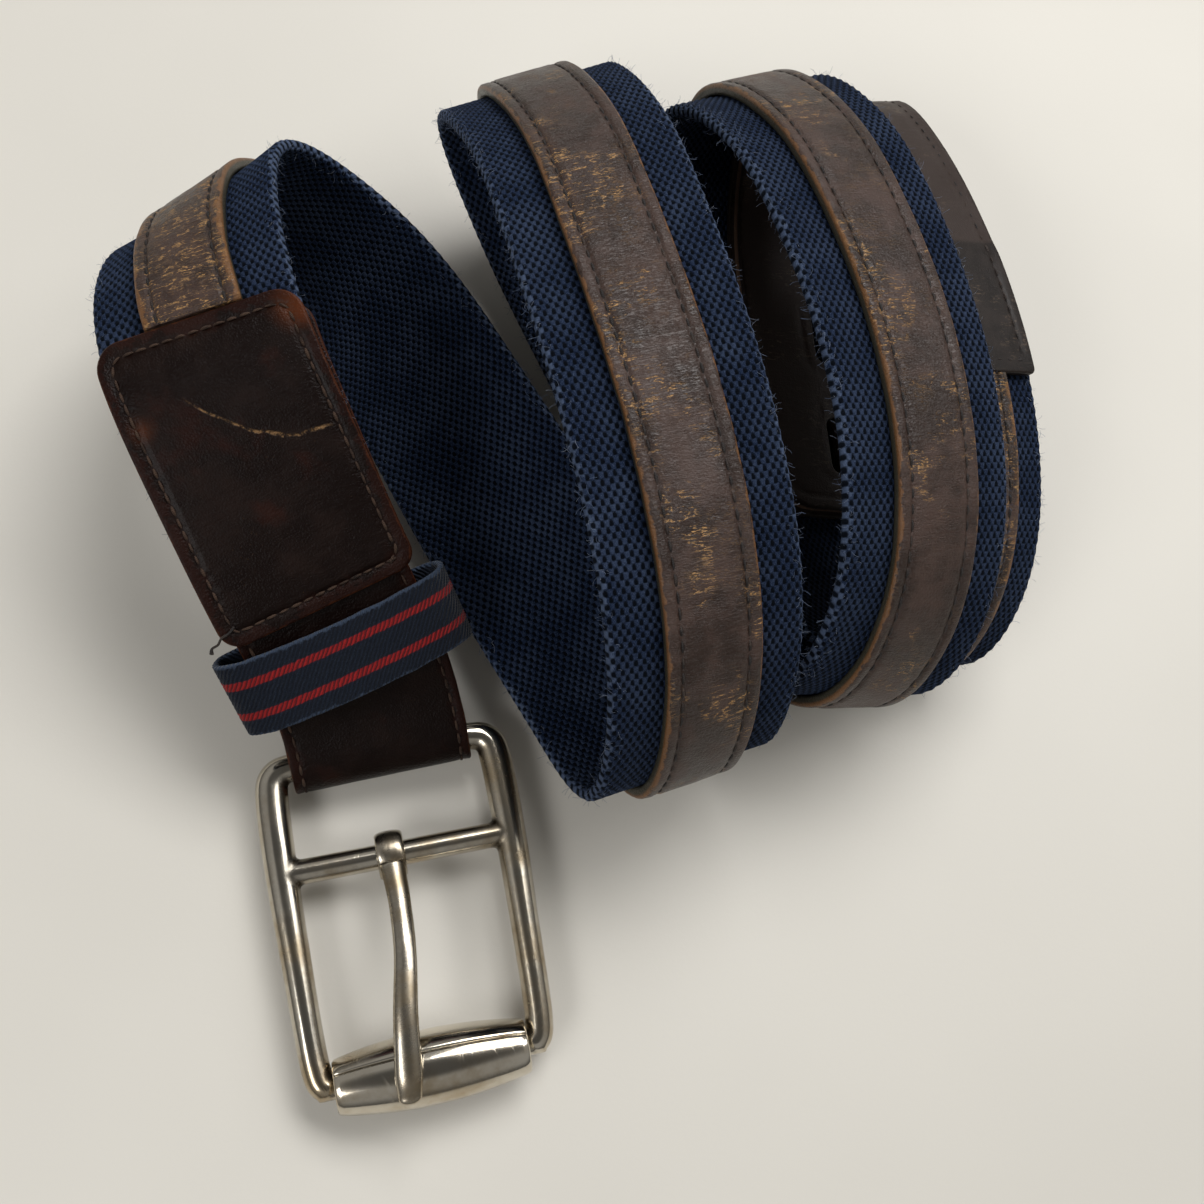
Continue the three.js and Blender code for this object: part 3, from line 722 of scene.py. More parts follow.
def buildRibbon(tree, shader):
    flat = readAttribute(tree, "flat")
    edge = readAttribute(tree, "edge")[2]
    cells = separate(tree, flat[1])
    slant = plus(tree, times(tree, cells[1], 0.8), times(tree, cells[0], 1.0))
    slant = plus(tree, slant, times(tree, noiseValue(tree, flat[1], 0.5, 2), 0.7))
    rib = maths(tree, "SINE", times(tree, slant, 2 * math.pi / ribbonLook["pitch"]))
    strands = noiseValue(tree, vectorMaths(tree, "MULTIPLY", flat[1], (1.2, 3.2, 1.0)), 3.0, 4, 0.7)
    ragged = plus(tree, cells[1], times(tree, minus(tree, noiseValue(tree, flat[1], 1.1, 3), 0.5), 0.6))
    lines = None
    for middle in ribbonLook["lineAt"]:
        away = distanceFrom(tree, ragged, middle)
        line = remap(tree, away, ribbonLook["lineHalf"] + 0.12, ribbonLook["lineHalf"] - 0.12)
        lines = line if lines is None else larger(tree, lines, line)
    base = blendColour(
        tree, remap(tree, strands, 0.5, 0.75, 0.0, 0.6), rgb(ribbonLook["ground"]), rgb(ribbonLook["pale"])
    )
    base = blendColour(tree, lines, base, rgb(ribbonLook["line"]))
    # painted shade: the base is darkened in the troughs of the twill ribs
    base = blendColour(tree, remap(tree, rib, -0.2, -0.9, 0.0, 0.75), base, rgb("0a0f1a"))
    frayed = useGroup(tree, edgeWear, Flat=flat[1], Edge_Distance=edge, Width=0.5, Break_Up=0.9)["Wear"]
    base = blendColour(tree, times(tree, frayed, 0.6), base, rgb(ribbonLook["pale"]))
    wire(tree, shader, Base_Color=base)
    wire(tree, shader, Normal=bump(tree, plus(tree, rib, times(tree, strands, 0.8)), 0.14))


# woven webbing
webbing = {"start": 42, "end": 1036, "width": 38, "half": 1.25, "threads": 46, "rowStep": 1.15, "relief": 0.17}


def webbingSection(along):
    row = round((along - webbing["start"]) / webbing["rowStep"])
    half = webbing["width"] / 2 - 0.75 + 0.12 * math.sin(row * math.pi) + 0.1 * noise.noise(
        Vector((along * 0.05, 0, 0))
    )
    across = np.linspace(-half, half, webbing["threads"])
    checker = webbing["relief"] * np.where((np.arange(webbing["threads"]) + row) % 2 == 1, 1, -0.6)
    top = [(a, webbing["half"] + c) for a, c in zip(across, checker)]
    under = [(a, -webbing["half"] + c) for a, c in zip(across, checker)]
    bead = 0.07 if row % 2 else -0.05
    right = [(half + 0.55 + bead, 0.75), (half + 0.75 + bead, 0.0), (half + 0.55 + bead, -0.75)]
    left = [(-a, -o) for a, o in right]
    return top + right + under[::-1] + left


def bandEdge(flat):
    return np.maximum(webbing["width"] / 2 - np.abs(flat[:, 0]), 0)


clothMaterial = newMaterial(
    "navyWebbing", buildCloth, Sheen_Weight=0.04, Sheen_Roughness=0.5, Sheen_Tint=rgb("8fa6c8"),
    Specular_IOR_Level=0.06,
)
rows = int((webbing["end"] - webbing["start"]) / webbing["rowStep"])
alongs = webbing["start"] + webbing["rowStep"] * np.arange(rows + 1)
cloth = faceOutwards(bandPiece("wovenWebbing", alongs, webbingSection, edgeOf=bandEdge))
finishPiece(cloth, "strap", ["webbing"], clothMaterial)
print("webbing", len(cloth.data.polygons))

# leather centre strip
centreStrip = {"start": 91.3, "end": 1007.7, "width": 18.4, "inner": 1.7, "outer": 4.1, "seam": 6.5, "step": 1.4}
stitching = {  # seams: spacing, length and thickness of their stitches, mm
    "strip": {"pitch": 2.9, "length": 2.2, "radius": 0.27},
    "tab": {"pitch": 2.4, "length": 2.0, "radius": 0.27},
    "chape": {"pitch": 2.9, "length": 2.2, "radius": 0.26},
}


def stripSection(along):
    half, inner, outer, seam = centreStrip["width"] / 2, centreStrip["inner"], centreStrip["outer"], centreStrip["seam"]
    sway = 0.18 * noise.noise(Vector((along * 0.03, 4.0, 0)))
    half += 0.15 * noise.noise(Vector((along * 0.11, 9.0, 0)))
    ring = [
        (half - 0.15, inner), (half, inner + 0.5), (half, outer - 0.85), (half - 0.12, outer - 0.42),
        (half - 0.5, outer - 0.12),
    ]
    for across in (
        half - 1.1, seam + 0.95, seam + 0.55, seam + 0.25, seam, seam - 0.25, seam - 0.55, seam - 0.95, 4.6, 3.6,
        2.4, 1.2, 0.0,
    ):
        ring.append((across, outer))
    ring += [(-a, o) for a, o in ring[-2::-1]]
    shaped = []
    for across, out in ring:
        if out > outer - 0.01:
            sunk = 0.42 * math.exp(-(((abs(across) - seam) / 0.5) ** 2)) + 0.12 * (across / half) ** 2
            pucker = 0.05 * math.sin(
                along * 2 * math.pi / stitching["strip"]["pitch"]
            ) * math.exp(-(((abs(across) - seam) / 1.2) ** 2))
            crumple = 0.14 * noise.noise(
                Vector((across * 0.12, along * 0.55, 2.0))
            ) + 0.06 * noise.noise(Vector((across * 0.4, along * 1.1, 5.0)))
            out += crumple - sunk - pucker
        shaped.append((across + sway, out))
    return shaped


stripMaterial = newMaterial("wornStripLeather", buildStripLeather, Specular_IOR_Level=0.38)
steps = int((centreStrip["end"] - centreStrip["start"]) / centreStrip["step"])
alongs = np.linspace(centreStrip["start"], centreStrip["end"], steps + 1)
strip = bandPiece(
    "centreStripLeather", alongs, stripSection,
    edgeOf=lambda flat: np.maximum(centreStrip["width"] / 2 - np.abs(flat[:, 0]), 0),
)
finishPiece(faceOutwards(strip), "strap", ["centre_strip"], stripMaterial)
print("centre strip", len(strip.data.polygons))


# stitches, laid along seam lines by geometry nodes
def buildStitchTree():
    tree = bpy.data.node_groups.new("stitchesAlongSeam", "GeometryNodeTree")
    tree.interface.new_socket("Geometry", in_out="INPUT", socket_type="NodeSocketGeometry")
    for label, value in (("Pitch", 0.003), ("Stitch Length", 0.0023), ("Thread Radius", 0.00027), ("Dip", 0.0003)):
        tree.interface.new_socket(label, in_out="INPUT", socket_type="NodeSocketFloat").default_value = value
    tree.interface.new_socket("Seed", in_out="INPUT", socket_type="NodeSocketInt").default_value = 3
    tree.interface.new_socket("Material", in_out="INPUT", socket_type="NodeSocketMaterial")
    tree.interface.new_socket("Geometry", in_out="OUTPUT", socket_type="NodeSocketGeometry")
    given = tree.nodes.new("NodeGroupInput").outputs
    seam = put(tree, "GeometryNodeMeshToCurve", None, Mesh=given["Geometry"])
    seam = put(tree, "GeometryNodeResampleCurve", {"mode": "LENGTH"}, Curve=seam.outputs[0], Length=given["Pitch"])
    half = times(tree, given["Stitch Length"], 0.5)
    low = times(tree, given["Dip"], -1.0)
    start = put(tree, "ShaderNodeCombineXYZ", None, X=times(tree, half, -1.0), Z=low).outputs[0]
    middle = put(tree, "ShaderNodeCombineXYZ", None, Z=given["Dip"]).outputs[0]
    end = put(tree, "ShaderNodeCombineXYZ", None, X=half, Z=low).outputs[0]
    arc = put(
        tree, "GeometryNodeCurveQuadraticBezier", None, Resolution=5, Start=start, Middle=middle, End=end
    ).outputs[0]
    share = put(tree, "GeometryNodeSplineParameter").outputs[0]
    bulge = times(tree, times(tree, share, minus(tree, 1.0, share)), 2.2)
    girth = plus(tree, bulge, 0.5)
    ring = put(tree, "GeometryNodeCurvePrimitiveCircle", None, Resolution=6, Radius=given["Thread Radius"]).outputs[0]
    stitch = put(
        tree, "GeometryNodeCurveToMesh", None, Curve=arc, Profile_Curve=ring, Scale=girth, Fill_Caps=True
    ).outputs[0]
    facing = put(tree, "GeometryNodeInputNamedAttribute", {"data_type": "FLOAT_VECTOR"}, Name="facing").outputs[0]
    tangent = put(tree, "GeometryNodeInputTangent").outputs[0]
    upright = put(tree, "FunctionNodeAlignRotationToVector", {"axis": "Z"}, Vector=facing).outputs[0]
    turned = put(
        tree, "FunctionNodeAlignRotationToVector", {"axis": "X", "pivot_axis": "Z"}, Rotation=upright, Vector=tangent
    ).outputs[0]
    size = put(
        tree, "FunctionNodeRandomValue", {"data_type": "FLOAT_VECTOR"}, i0=(0.86, 0.8, 0.7), i1=(1.08, 1.2, 1.25),
        Seed=given["Seed"],
    ).outputs[0]
    lie = put(
        tree, "GeometryNodeInstanceOnPoints", None, Points=seam.outputs[0], Instance=stitch, Rotation=turned,
        Scale=size,
    ).outputs[0]
    real = put(tree, "GeometryNodeRealizeInstances", None, i0=lie).outputs[0]
    painted = put(tree, "GeometryNodeSetMaterial", None, Geometry=real, Material=given["Material"]).outputs[0]
    finish = tree.nodes.new("NodeGroupOutput")
    tree.links.new(painted, finish.inputs[0])
    arrange(tree)
    return tree


stitchTree = buildStitchTree()


# the modifier's result as a plain mesh in the same object
def settle(piece):
    bpy.context.view_layer.update()
    mesh = bpy.data.meshes.new_from_object(piece.evaluated_get(bpy.context.evaluated_depsgraph_get()))
    piece.modifiers.clear()
    piece.data = mesh
    mesh.polygons.foreach_set("use_smooth", [True] * len(mesh.polygons))
    return piece


def treeModifier(piece, tree, **values):
    modifier = piece.modifiers.new(tree.name, "NODES")
    modifier.node_group = tree
    for item in tree.interface.items_tree:
        if item.item_type == "SOCKET" and item.in_out == "INPUT" and item.name.replace(" ", "_") in values:
            modifier[item.identifier] = values[item.name.replace(" ", "_")]
    return modifier


# stitches on seam lines, each line a list of points and of the directions that they face
def stitchPiece(name, lines, look, material, seed):
    points, edges, facings = [], [], []
    for line, facing in lines:
        first = len(points)
        points += [tuple(p) for p in line]
        facings += [tuple(f) for f in facing]
        edges += [(first + k, first + k + 1) for k in range(len(line) - 1)]
    mesh = bpy.data.meshes.new(name)
    mesh.from_pydata(points, edges, [])
    mesh.attributes.new("facing", "FLOAT_VECTOR", "POINT").data.foreach_set("vector", np.ravel(facings).astype("f"))
    piece = bpy.data.objects.new(name, mesh)
    bpy.context.scene.collection.objects.link(piece)
    treeModifier(
        piece, stitchTree, Pitch=look["pitch"] * mm, Stitch_Length=look["length"] * mm,
        Thread_Radius=look["radius"] * mm, Dip=look["radius"] * 1.1 * mm, Seed=seed, Material=material,
    )
    return settle(piece)


def seamLine(alongs, across, out):
    return onStrap(alongs, np.full(len(alongs), across), np.full(len(alongs), out)), strapFrame(alongs)[3]


# points at about one spacing along a closed outline
def evenPath(outline, spacing):
    corners = np.vstack([outline, outline[:1]])
    runs = []
    for a, b in zip(corners[:-1], corners[1:]):
        runs.append(np.linspace(a, b, max(2, int(np.linalg.norm(b - a) / spacing) + 1))[:-1])
    return np.vstack([*runs, corners[-1:]])


darkThread = newMaterial(
    "darkThread", lambda tree, shader: buildThread(tree, shader, 0.0), Roughness=0.75, Sheen_Weight=0.03
)
paleThread = newMaterial(
    "rubbedThread", lambda tree, shader: buildThread(tree, shader, 0.2), Roughness=0.8, Sheen_Weight=0.03,
    Specular_IOR_Level=0.2,
)
alongs = np.arange(centreStrip["start"] + 1.5, centreStrip["end"] - 1.5, 1.0)
for name, across, node in (
    ("stripStitchesLeft", -centreStrip["seam"], "strip_seam_left"),
    ("stripStitchesRight", centreStrip["seam"], "strip_seam_right"),
):
    seam = stitchPiece(
        name, [seamLine(alongs, across, centreStrip["outer"] - 0.34)], stitching["strip"], darkThread, 5
    )
    finishPiece(seam, "strap", [node], darkThread)
print("strip stitches", len(seam.data.polygons))

# chape, folded round the top bar
chape = {
    "width": 35.2, "thickness": 1.6, "tail": 41.7, "barRadius": 2.9, "clearance": 0.5, "closing": 14, "resting": 1.0,
    "seam": 15.6,
}
foldRadius = chape["barRadius"] + chape["clearance"] + chape["thickness"] / 2
halfFold = math.pi * foldRadius / 2


# length along the strap and height out of it, for the chape's middle at each distance from the fold's tip
def chapeRoute(travel):
    travel = np.asarray(travel, float)
    angle = travel / foldRadius
    along = np.abs(travel) - halfFold
    closing = np.clip(along / chape["closing"], 0, 1)
    offset = chape["resting"] + (foldRadius - chape["resting"]) * (1 + np.cos(np.pi * closing)) / 2
    folded = np.abs(travel) < halfFold
    return np.where(folded, -foldRadius * np.cos(angle), along), np.where(
        folded, foldRadius * np.sin(angle), np.sign(travel) * offset
    )


# along is here the distance from the fold's tip, and out the distance from the chape's middle
def onChape(travel, across, out):
    reach = 0.05
    alongA, outA = chapeRoute(travel - reach)
    alongB, outB = chapeRoute(travel + reach)
    before, after = onStrap(alongA, np.zeros_like(alongA), outA), onStrap(alongB, np.zeros_like(alongB), outB)
    along, offset = chapeRoute(travel)
    side = strapFrame(along)[2]
    middle = onStrap(along, np.zeros_like(along), offset)
    facing = unit(np.cross(side, unit(after - before)))
    return middle + (side * np.asarray(across)[..., None] + facing * np.asarray(out)[..., None]) * mm


def chapeSection(travel):
    half, thick, seam = chape["width"] / 2, chape["thickness"] / 2, chape["seam"]
    half += 0.12 * noise.noise(Vector((travel * 0.2, 1.0, 0)))
    right = [
        (half - 0.35, -thick), (half - 0.06, -thick + 0.3), (half, 0.0), (half - 0.08, thick - 0.35),
        (half - 0.4, thick - 0.05),
    ]
    across = [half - 1.0, seam + 0.6, seam + 0.3, seam, seam - 0.3, seam - 0.6, seam - 1.2, 12, 10, 8, 6, 4, 2, 0]
    top = [(a, thick) for a in across]
    top += [(-a, thick) for a in across[-2::-1]]
    left = [(-a, o) for a, o in right[::-1]]
    under = [(-a, -thick) for a in (14, 10, 6, 2)] + [(a, -thick) for a in (2, 6, 10, 14)]
    shaped = []
    for a, o in right + top + left + under:
        if o > thick - 0.01:
            o -= 0.22 * math.exp(-(((abs(a) - seam) / 0.45) ** 2)) + 0.1
            o += 0.09 * noise.noise(Vector((a * 0.18, travel * 0.25, 1.0)))
        shaped.append((a, o))
    return shaped


darkMaterial = newMaterial(
    "darkWaxedLeather", buildDarkLeather, Specular_IOR_Level=0.1, Coat_Weight=0.03, Coat_Roughness=0.15
)
travels = np.linspace(-halfFold - chape["tail"], halfFold + chape["tail"], 150)
chapePiece = bandPiece(
    "foldedChape", travels, chapeSection, place=onChape,
    edgeOf=lambda flat: np.maximum(chape["width"] / 2 - np.abs(flat[:, 0]), 0),
)
finishPiece(faceOutwards(chapePiece), "strap", ["chape_loop"], darkMaterial)

seamTravels = np.arange(1.5, halfFold + 33, 0.7)
for name, across, node in (
    ("chapeStitchesLeft", -chape["seam"], "chape_seam_left"),
    ("chapeStitchesRight", chape["seam"], "chape_seam_right"),
):
    line = onChape(
        seamTravels, np.full(len(seamTravels), across), np.full(len(seamTravels), chape["thickness"] / 2 - 0.05)
    )
    facing = unit(line - onChape(seamTravels, np.full(len(seamTravels), across), np.zeros(len(seamTravels))))
    finishPiece(
        stitchPiece(name, [(line, facing)], stitching["chape"], paleThread, 8), "strap", [node], paleThread
    )
print("chape", len(chapePiece.data.polygons))

# buckle tab: a patch on each side
tab = {
    "start": 35, "end": 91, "width": 38.6, "radius": 5, "inner": 2.1, "outer": 4.0, "inset": 2.7, "cell": 0.6,
    "backShift": 0.8,
}


def tabShape(flat, edge, height):
    line = 0.4 * np.exp(-(((edge - tab["inset"]) / 0.65) ** 2))
    line += 0.22 * softNoise(flat * (1, 1, 0), 1.1, 21) * np.exp(-(((edge - tab["inset"]) / 1.1) ** 2))
    swell = 0.16 * np.clip((edge - tab["inset"]) / 5, 0, 1)
    ripple = 0.16 * softNoise(flat * (1, 1, 0), 0.09, 4) + 0.07 * softNoise(flat * (1, 1, 0), 0.4, 6)
    return height * (ripple + swell - line - 0.14)


tabOutline = roundedOutline(tab["width"], tab["start"], tab["end"], 4, tab["radius"])
tabFront = patchPiece("tabFrontLeather", tabOutline, [], tab["inner"], tab["outer"], 0.45, tab["cell"], tabShape)
finishPiece(tabFront, "strap", ["tab_front"], darkMaterial)
backOutline = [(x + tab["backShift"], y) for x, y in roundedOutline(38, tab["start"] - 1.5, tab["end"], 4, 5)]
tabBack = patchPiece(
    "tabBackLeather", backOutline, [], -tab["outer"], -tab["inner"], 0.4, 1.4, lambda flat, edge,
    height: 0.1 * (1 - height) * softNoise(flat * (1, 1, 0), 0.12, 9),
)
finishPiece(tabBack, "strap", ["tab_back"], darkMaterial)

inset = tab["inset"]
seamOutline = roundedOutline(tab["width"] - 2 * inset, tab["start"] + inset, tab["end"] - inset, 1.5, 2.5, 4)
seamPath = evenPath(seamOutline, 0.7)
seamLines = [
    (
        onStrap(seamPath[:, 1], seamPath[:, 0], np.full(len(seamPath), tab["outer"] - 0.3)),
        strapFrame(seamPath[:, 1])[3],
    )
]
tabSeam = stitchPiece("tabStitches", seamLines, stitching["tab"], paleThread, 11)
finishPiece(tabSeam, "strap", ["tab_seam"], paleThread)

# frayed end of the tab's thread, poking out past its corner
tail = {
    "radius": 0.24,
    "route": [
        (39.0, -16.0, 3.9), (38.4, -17.4, 4.25), (38.2, -18.9, 4.2), (37.3, -20.1, 3.7), (37.0, -21.4, 3.1),
        (36.1, -22.0, 2.8),
    ],
}
ends = np.array(tail["route"])
tailLine = onStrap(ends[:, 0], ends[:, 1], ends[:, 2]) / mm
points, faces = rodMesh(tailLine, [(tail["radius"], tail["radius"])] * 5 + [(0.42, 0.34)], 30, 8)
threadTail = faceOutwards(makePiece("threadTail", points * mm, faces))
finishPiece(threadTail, "strap", [], darkThread)
print("tab", len(tabFront.data.polygons), len(tabSeam.data.polygons))

# billet with its holes
billet = {
    "start": 1008, "tip": 1183, "width": 36.6, "tipRadius": 11, "inner": 1.7, "outer": 3.4, "firstHole": 1062,
    "pitch": 26.5, "holes": 5, "holeLength": 13, "holeWidth": 4, "inset": 2.7, "cell": 1.6, "webbingEnd": 1036,
}


def holeOutlines(grow=0.0):
    found = []
    for k in range(billet["holes"]):
        middle, half = billet["firstHole"] + k * billet["pitch"], billet["holeLength"] / 2 + grow
        width = billet["holeWidth"] + 2 * grow
        found.append(roundedOutline(width, middle - half, middle + half, width / 2 - 0.01, width / 2 - 0.01, 6))
    return found


def billetShape(flat, edge, height):
    overWebbing = np.clip((billet["webbingEnd"] + 2 - flat[:, 1]) / 3, 0, 1)
    line = 0.3 * np.exp(-(((edge - billet["inset"]) / 0.5) ** 2))
    ripple = 0.1 * softNoise(flat * (1, 1, 0), 0.07, 14)
    return height * (ripple - line - 0.1 - 0.28 * (1 - overWebbing))


billetMaterial = newMaterial("smoothBilletLeather", buildBilletLeather, Specular_IOR_Level=0.2)
billetOutline = roundedOutline(billet["width"], billet["start"], billet["tip"], 1.2, billet["tipRadius"])
billetFront = patchPiece(
    "billetFrontLeather", billetOutline, holeOutlines(), billet["inner"], billet["outer"], 0.4, billet["cell"],
    billetShape,
)
finishPiece(billetFront, "strap", ["billet_front"], billetMaterial)
billetBack = patchPiece(
    "billetBackLeather", billetOutline, holeOutlines(), -billet["outer"], -billet["inner"], 0.4, billet["cell"],
    lambda flat, edge, height: -billetShape(flat, edge, 1 - height),
)
finishPiece(billetBack, "strap", ["billet_back"], billetMaterial)
boardOutline = roundedOutline(
    billet["width"] - 1.2, billet["webbingEnd"] + 0.3, billet["tip"] - 0.8, 0.6, billet["tipRadius"]
)
board = patchPiece(
    "billetBoard", boardOutline, holeOutlines(0.3), -0.8, 0.8, 0.2, 2.2, lambda flat, edge, height: 0 * edge
)
finishPiece(
    board, "strap", ["billet_core"], newMaterial("reinforcingBoard", buildBoard, Roughness=0.85)
)

inset = billet["inset"]
seamOutline = roundedOutline(
    billet["width"] - 2 * inset, billet["start"] + inset, billet["tip"] - inset, 1.0, billet["tipRadius"] - inset, 6
)
seamPath = evenPath(seamOutline, 0.8)
seamLines = []
for sign in (1, -1):
    lift = billet["outer"] - 0.3 - 0.38 * np.clip((seamPath[:, 1] - billet["webbingEnd"] + 1) / 3, 0, 1)
    facing = sign * strapFrame(seamPath[:, 1])[3]
    seamLines.append((onStrap(seamPath[:, 1], seamPath[:, 0], sign * lift), facing))
billetStitches = stitchPiece("billetStitches", seamLines, stitching["strip"], darkThread, 17)
finishPiece(billetStitches, "strap", [], darkThread)
print("billet", len(billetFront.data.polygons), len(billetStitches.data.polygons))

# keeper ribbon
keeper = {"place": 25, "length": 15.4, "thickness": 1.3, "aroundSteps": 300, "alongSteps": 46}


def smoothLoop(corners, count):
    points = np.array(corners, float)
    for _ in range(3):
        after = np.roll(points, -1, axis=0)
        points = np.stack([points * 0.75 + after * 0.25, points * 0.25 + after * 0.75], 1).reshape(-1, 2)
    closed = np.vstack([points, points[:1]])
    length = np.r_[0, np.cumsum(np.linalg.norm(np.diff(closed, axis=0), axis=1))]
    even = np.linspace(0, length[-1], count, endpoint=False)
    return np.stack([np.interp(even, length, closed[:, k]) for k in (0, 1)], -1), even


def keeperPiece():
    grow = keeper["thickness"] / 2 + 0.1
    half = [
        (20.4 + grow * 0.6, -3.4 - grow), (22.8 + grow, -0.4), (20.8 + grow * 0.9, 3.4 + grow * 0.6),
        (12 + grow * 0.2, 5 + grow),
    ]
    middle, around = smoothLoop(half + [(-a, o) for a, o in half[::-1]], keeper["aroundSteps"])
    run = np.roll(middle, -1, axis=0) - np.roll(middle, 1, axis=0)
    outward = unit(np.stack([run[:, 1], -run[:, 0]], -1))
    place, along, side, out = (v[0] for v in strapFrame([keeper["place"]]))
    steps = keeper["alongSteps"]
    levels = [(k / steps - 0.5) * keeper["length"] for k in range(steps + 1)]
    skin = keeper["thickness"] / 2 - 0.12
    ring = [(level, skin) for level in levels]
    ring += [(levels[-1] + 0.16, skin * 0.4), (levels[-1] + 0.16, -skin * 0.4)]
    ring += [(level, -skin) for level in levels[::-1]]
    ring += [(levels[0] - 0.16, -skin * 0.4), (levels[0] - 0.16, skin * 0.4)]
    points, flat, edge = [], [], []
    for (across, lift), (dx, dz), length in zip(middle, outward, around):
        wave = 0.45 * math.sin(length * 0.13 + 1.0) + 0.4 * noise.noise(Vector((length * 0.25, 0, 3)))
        for level, depth in ring:
            rib = 0.1 * math.sin((0.8 * level + length) * 2 * math.pi / ribbonLook["pitch"]) if depth == skin else 0
            nearEdge = keeper["length"] / 2 - abs(level)
            curl = 0.1 * math.exp(-((nearEdge / 1.6) ** 2)) * noise.noise(Vector((length * 0.3, level * 0.1, 8)))
            d = depth + rib + curl
            shifted = level * (1 - 0.02) + wave * 0.5 * (abs(level) / keeper["length"] * 2)
            points.append((place + along * shifted + side * (across + dx * d) + out * (lift + dz * d)) * mm)
            flat.append((length, level, depth))
            edge.append(max(nearEdge, 0))
    piece = makePiece("keeperRibbonLoop", points, skinFaces(len(middle), len(ring), True), flat, edge)
    return faceOutwards(piece)


ribbonMaterial = newMaterial(
    "twillRibbon", buildRibbon, Roughness=0.8, Sheen_Weight=0.08, Sheen_Roughness=0.4, Specular_IOR_Level=0.2
)
ribbon = finishPiece(keeperPiece(), "keeper", ["keeper_ribbon"], ribbonMaterial)
print("keeper", len(ribbon.data.polygons))

# buckle
buckle = {"armOffset": 22.4, "armTaper": 0.9, "centreBar": -20.6, "bottomBar": -61, "voxel": 0.36}
metalMaterial = newMaterial("agedNickel", buildMetal, Metallic=1.0)


def ballMesh(centre, radius):
    work = bmesh.new()
    bmesh.ops.create_uvsphere(work, u_segments=32, v_segments=18, radius=radius)
    points = np.array([v.co for v in work.verts]) + centre
    faces = [[v.index for v in face.verts] for face in work.faces]
    work.free()
    return points, faces


# several overlapping closed rods fused into one cast piece, with softened joints
def castPiece(name, parts, voxel, smoothing):
    points, faces = [], []
    for part, partFaces in parts:
        first = len(points)
        points += list((part + topBar) * mm)
        faces += [[first + v for v in face] for face in partFaces]
    piece = faceOutwards(makePiece(name, points, faces))
    fuse = piece.modifiers.new("fuse", "REMESH")
    fuse.mode, fuse.voxel_size, fuse.use_smooth_shade = "VOXEL", voxel * mm, True
    soften = piece.modifiers.new("soften", "SMOOTH")
    soften.factor, soften.iterations = 0.5, smoothing
    return settle(piece)


# how hollow the surface is at each point, for grime in the nooks
def storeNook(piece, rounds=4):
    mesh = piece.data
    count = len(mesh.vertices)
    points = np.empty(count * 3)
    mesh.vertices.foreach_get("co", points)
    points = points.reshape(-1, 3)
    normals = np.empty(count * 3)
    mesh.vertices.foreach_get("normal", normals)
    normals = normals.reshape(-1, 3)
    pairs = np.empty(len(mesh.edges) * 2, int)
    mesh.edges.foreach_get("vertices", pairs)
    a, b = pairs.reshape(-1, 2).T
    degree = np.bincount(np.r_[a, b], minlength=count)

    def average(values):
        total = np.zeros_like(values)
        np.add.at(total, a, values[b])
        np.add.at(total, b, values[a])
        return total / degree.reshape(-1, *[1] * (values.ndim - 1))

    smooth = points
    for _ in range(rounds):
        smooth = average(smooth)
    hollow = ((smooth - points) * normals).sum(1) / (0.25 * mm)
    hollow = average(average(hollow))
    mesh.attributes.new("nook", "FLOAT", "POINT").data.foreach_set("value", np.clip(hollow + 0.35, 0, 2).astype("f"))
    return piece


def frameParts():
    armOffset, taper, bottom = buckle["armOffset"], buckle["armTaper"], buckle["bottomBar"]
    parts = []
    for side in (-1, 1):
        places = [
            (-0.5, 0), (10, 0), (18.4, -0.1), (21.4, -1.6), (armOffset - 0.1, -5.2), (armOffset + 0.1, -14),
            (armOffset, -25),
        ]
        places += [
            (armOffset - taper * 0.4, -38), (armOffset - taper * 0.8, -50), (armOffset - taper - 0.2, -56.5),
            (20.6, bottom + 1.2), (18.9, bottom),
        ]
        radii = [
            (2.6, 2.6), (2.6, 2.6), (2.8, 2.7), (3.1, 2.8), (3.25, 2.85), (3.25, 2.9), (3.1, 2.85), (2.85, 2.8),
            (2.75, 2.8), (2.75, 2.8), (2.7, 2.7), (2.5, 2.5),
        ]
        parts.append(rodMesh([(side * x, y, 0) for x, y in places], radii, 130))
    reach = armOffset
    parts.append(
        rodMesh(
            [
                (-reach, buckle["centreBar"], 0), (-reach + 4, buckle["centreBar"], 0),
                (reach - 4, buckle["centreBar"], 0), (reach, buckle["centreBar"], 0),
            ], [(2.9, 2.8), (2.5, 2.5), (2.5, 2.5), (2.9, 2.8)], 60,
        )
    )
    parts.append(
        rodMesh([(-reach + taper, bottom, 0), (0, bottom, 0), (reach - taper, bottom, 0)], [(2.05, 2.05)] * 3, 40)
    )
    return parts


buckleFrame = storeNook(castPiece("castBuckleFrame", frameParts(), buckle["voxel"], 6))
finishPiece(buckleFrame, "buckle", ["buckle_frame"], metalMaterial)
print("buckle frame", len(buckleFrame.data.polygons))

# roller: rolled sheet with its seam
roller = {
    "radius": 6.9, "endRadius": 5.05, "length": 36.4, "bore": 2.45, "wall": 0.9, "seamAngle": 62, "seamDepth": 0.4,
    "seamStep": 0.16,
}


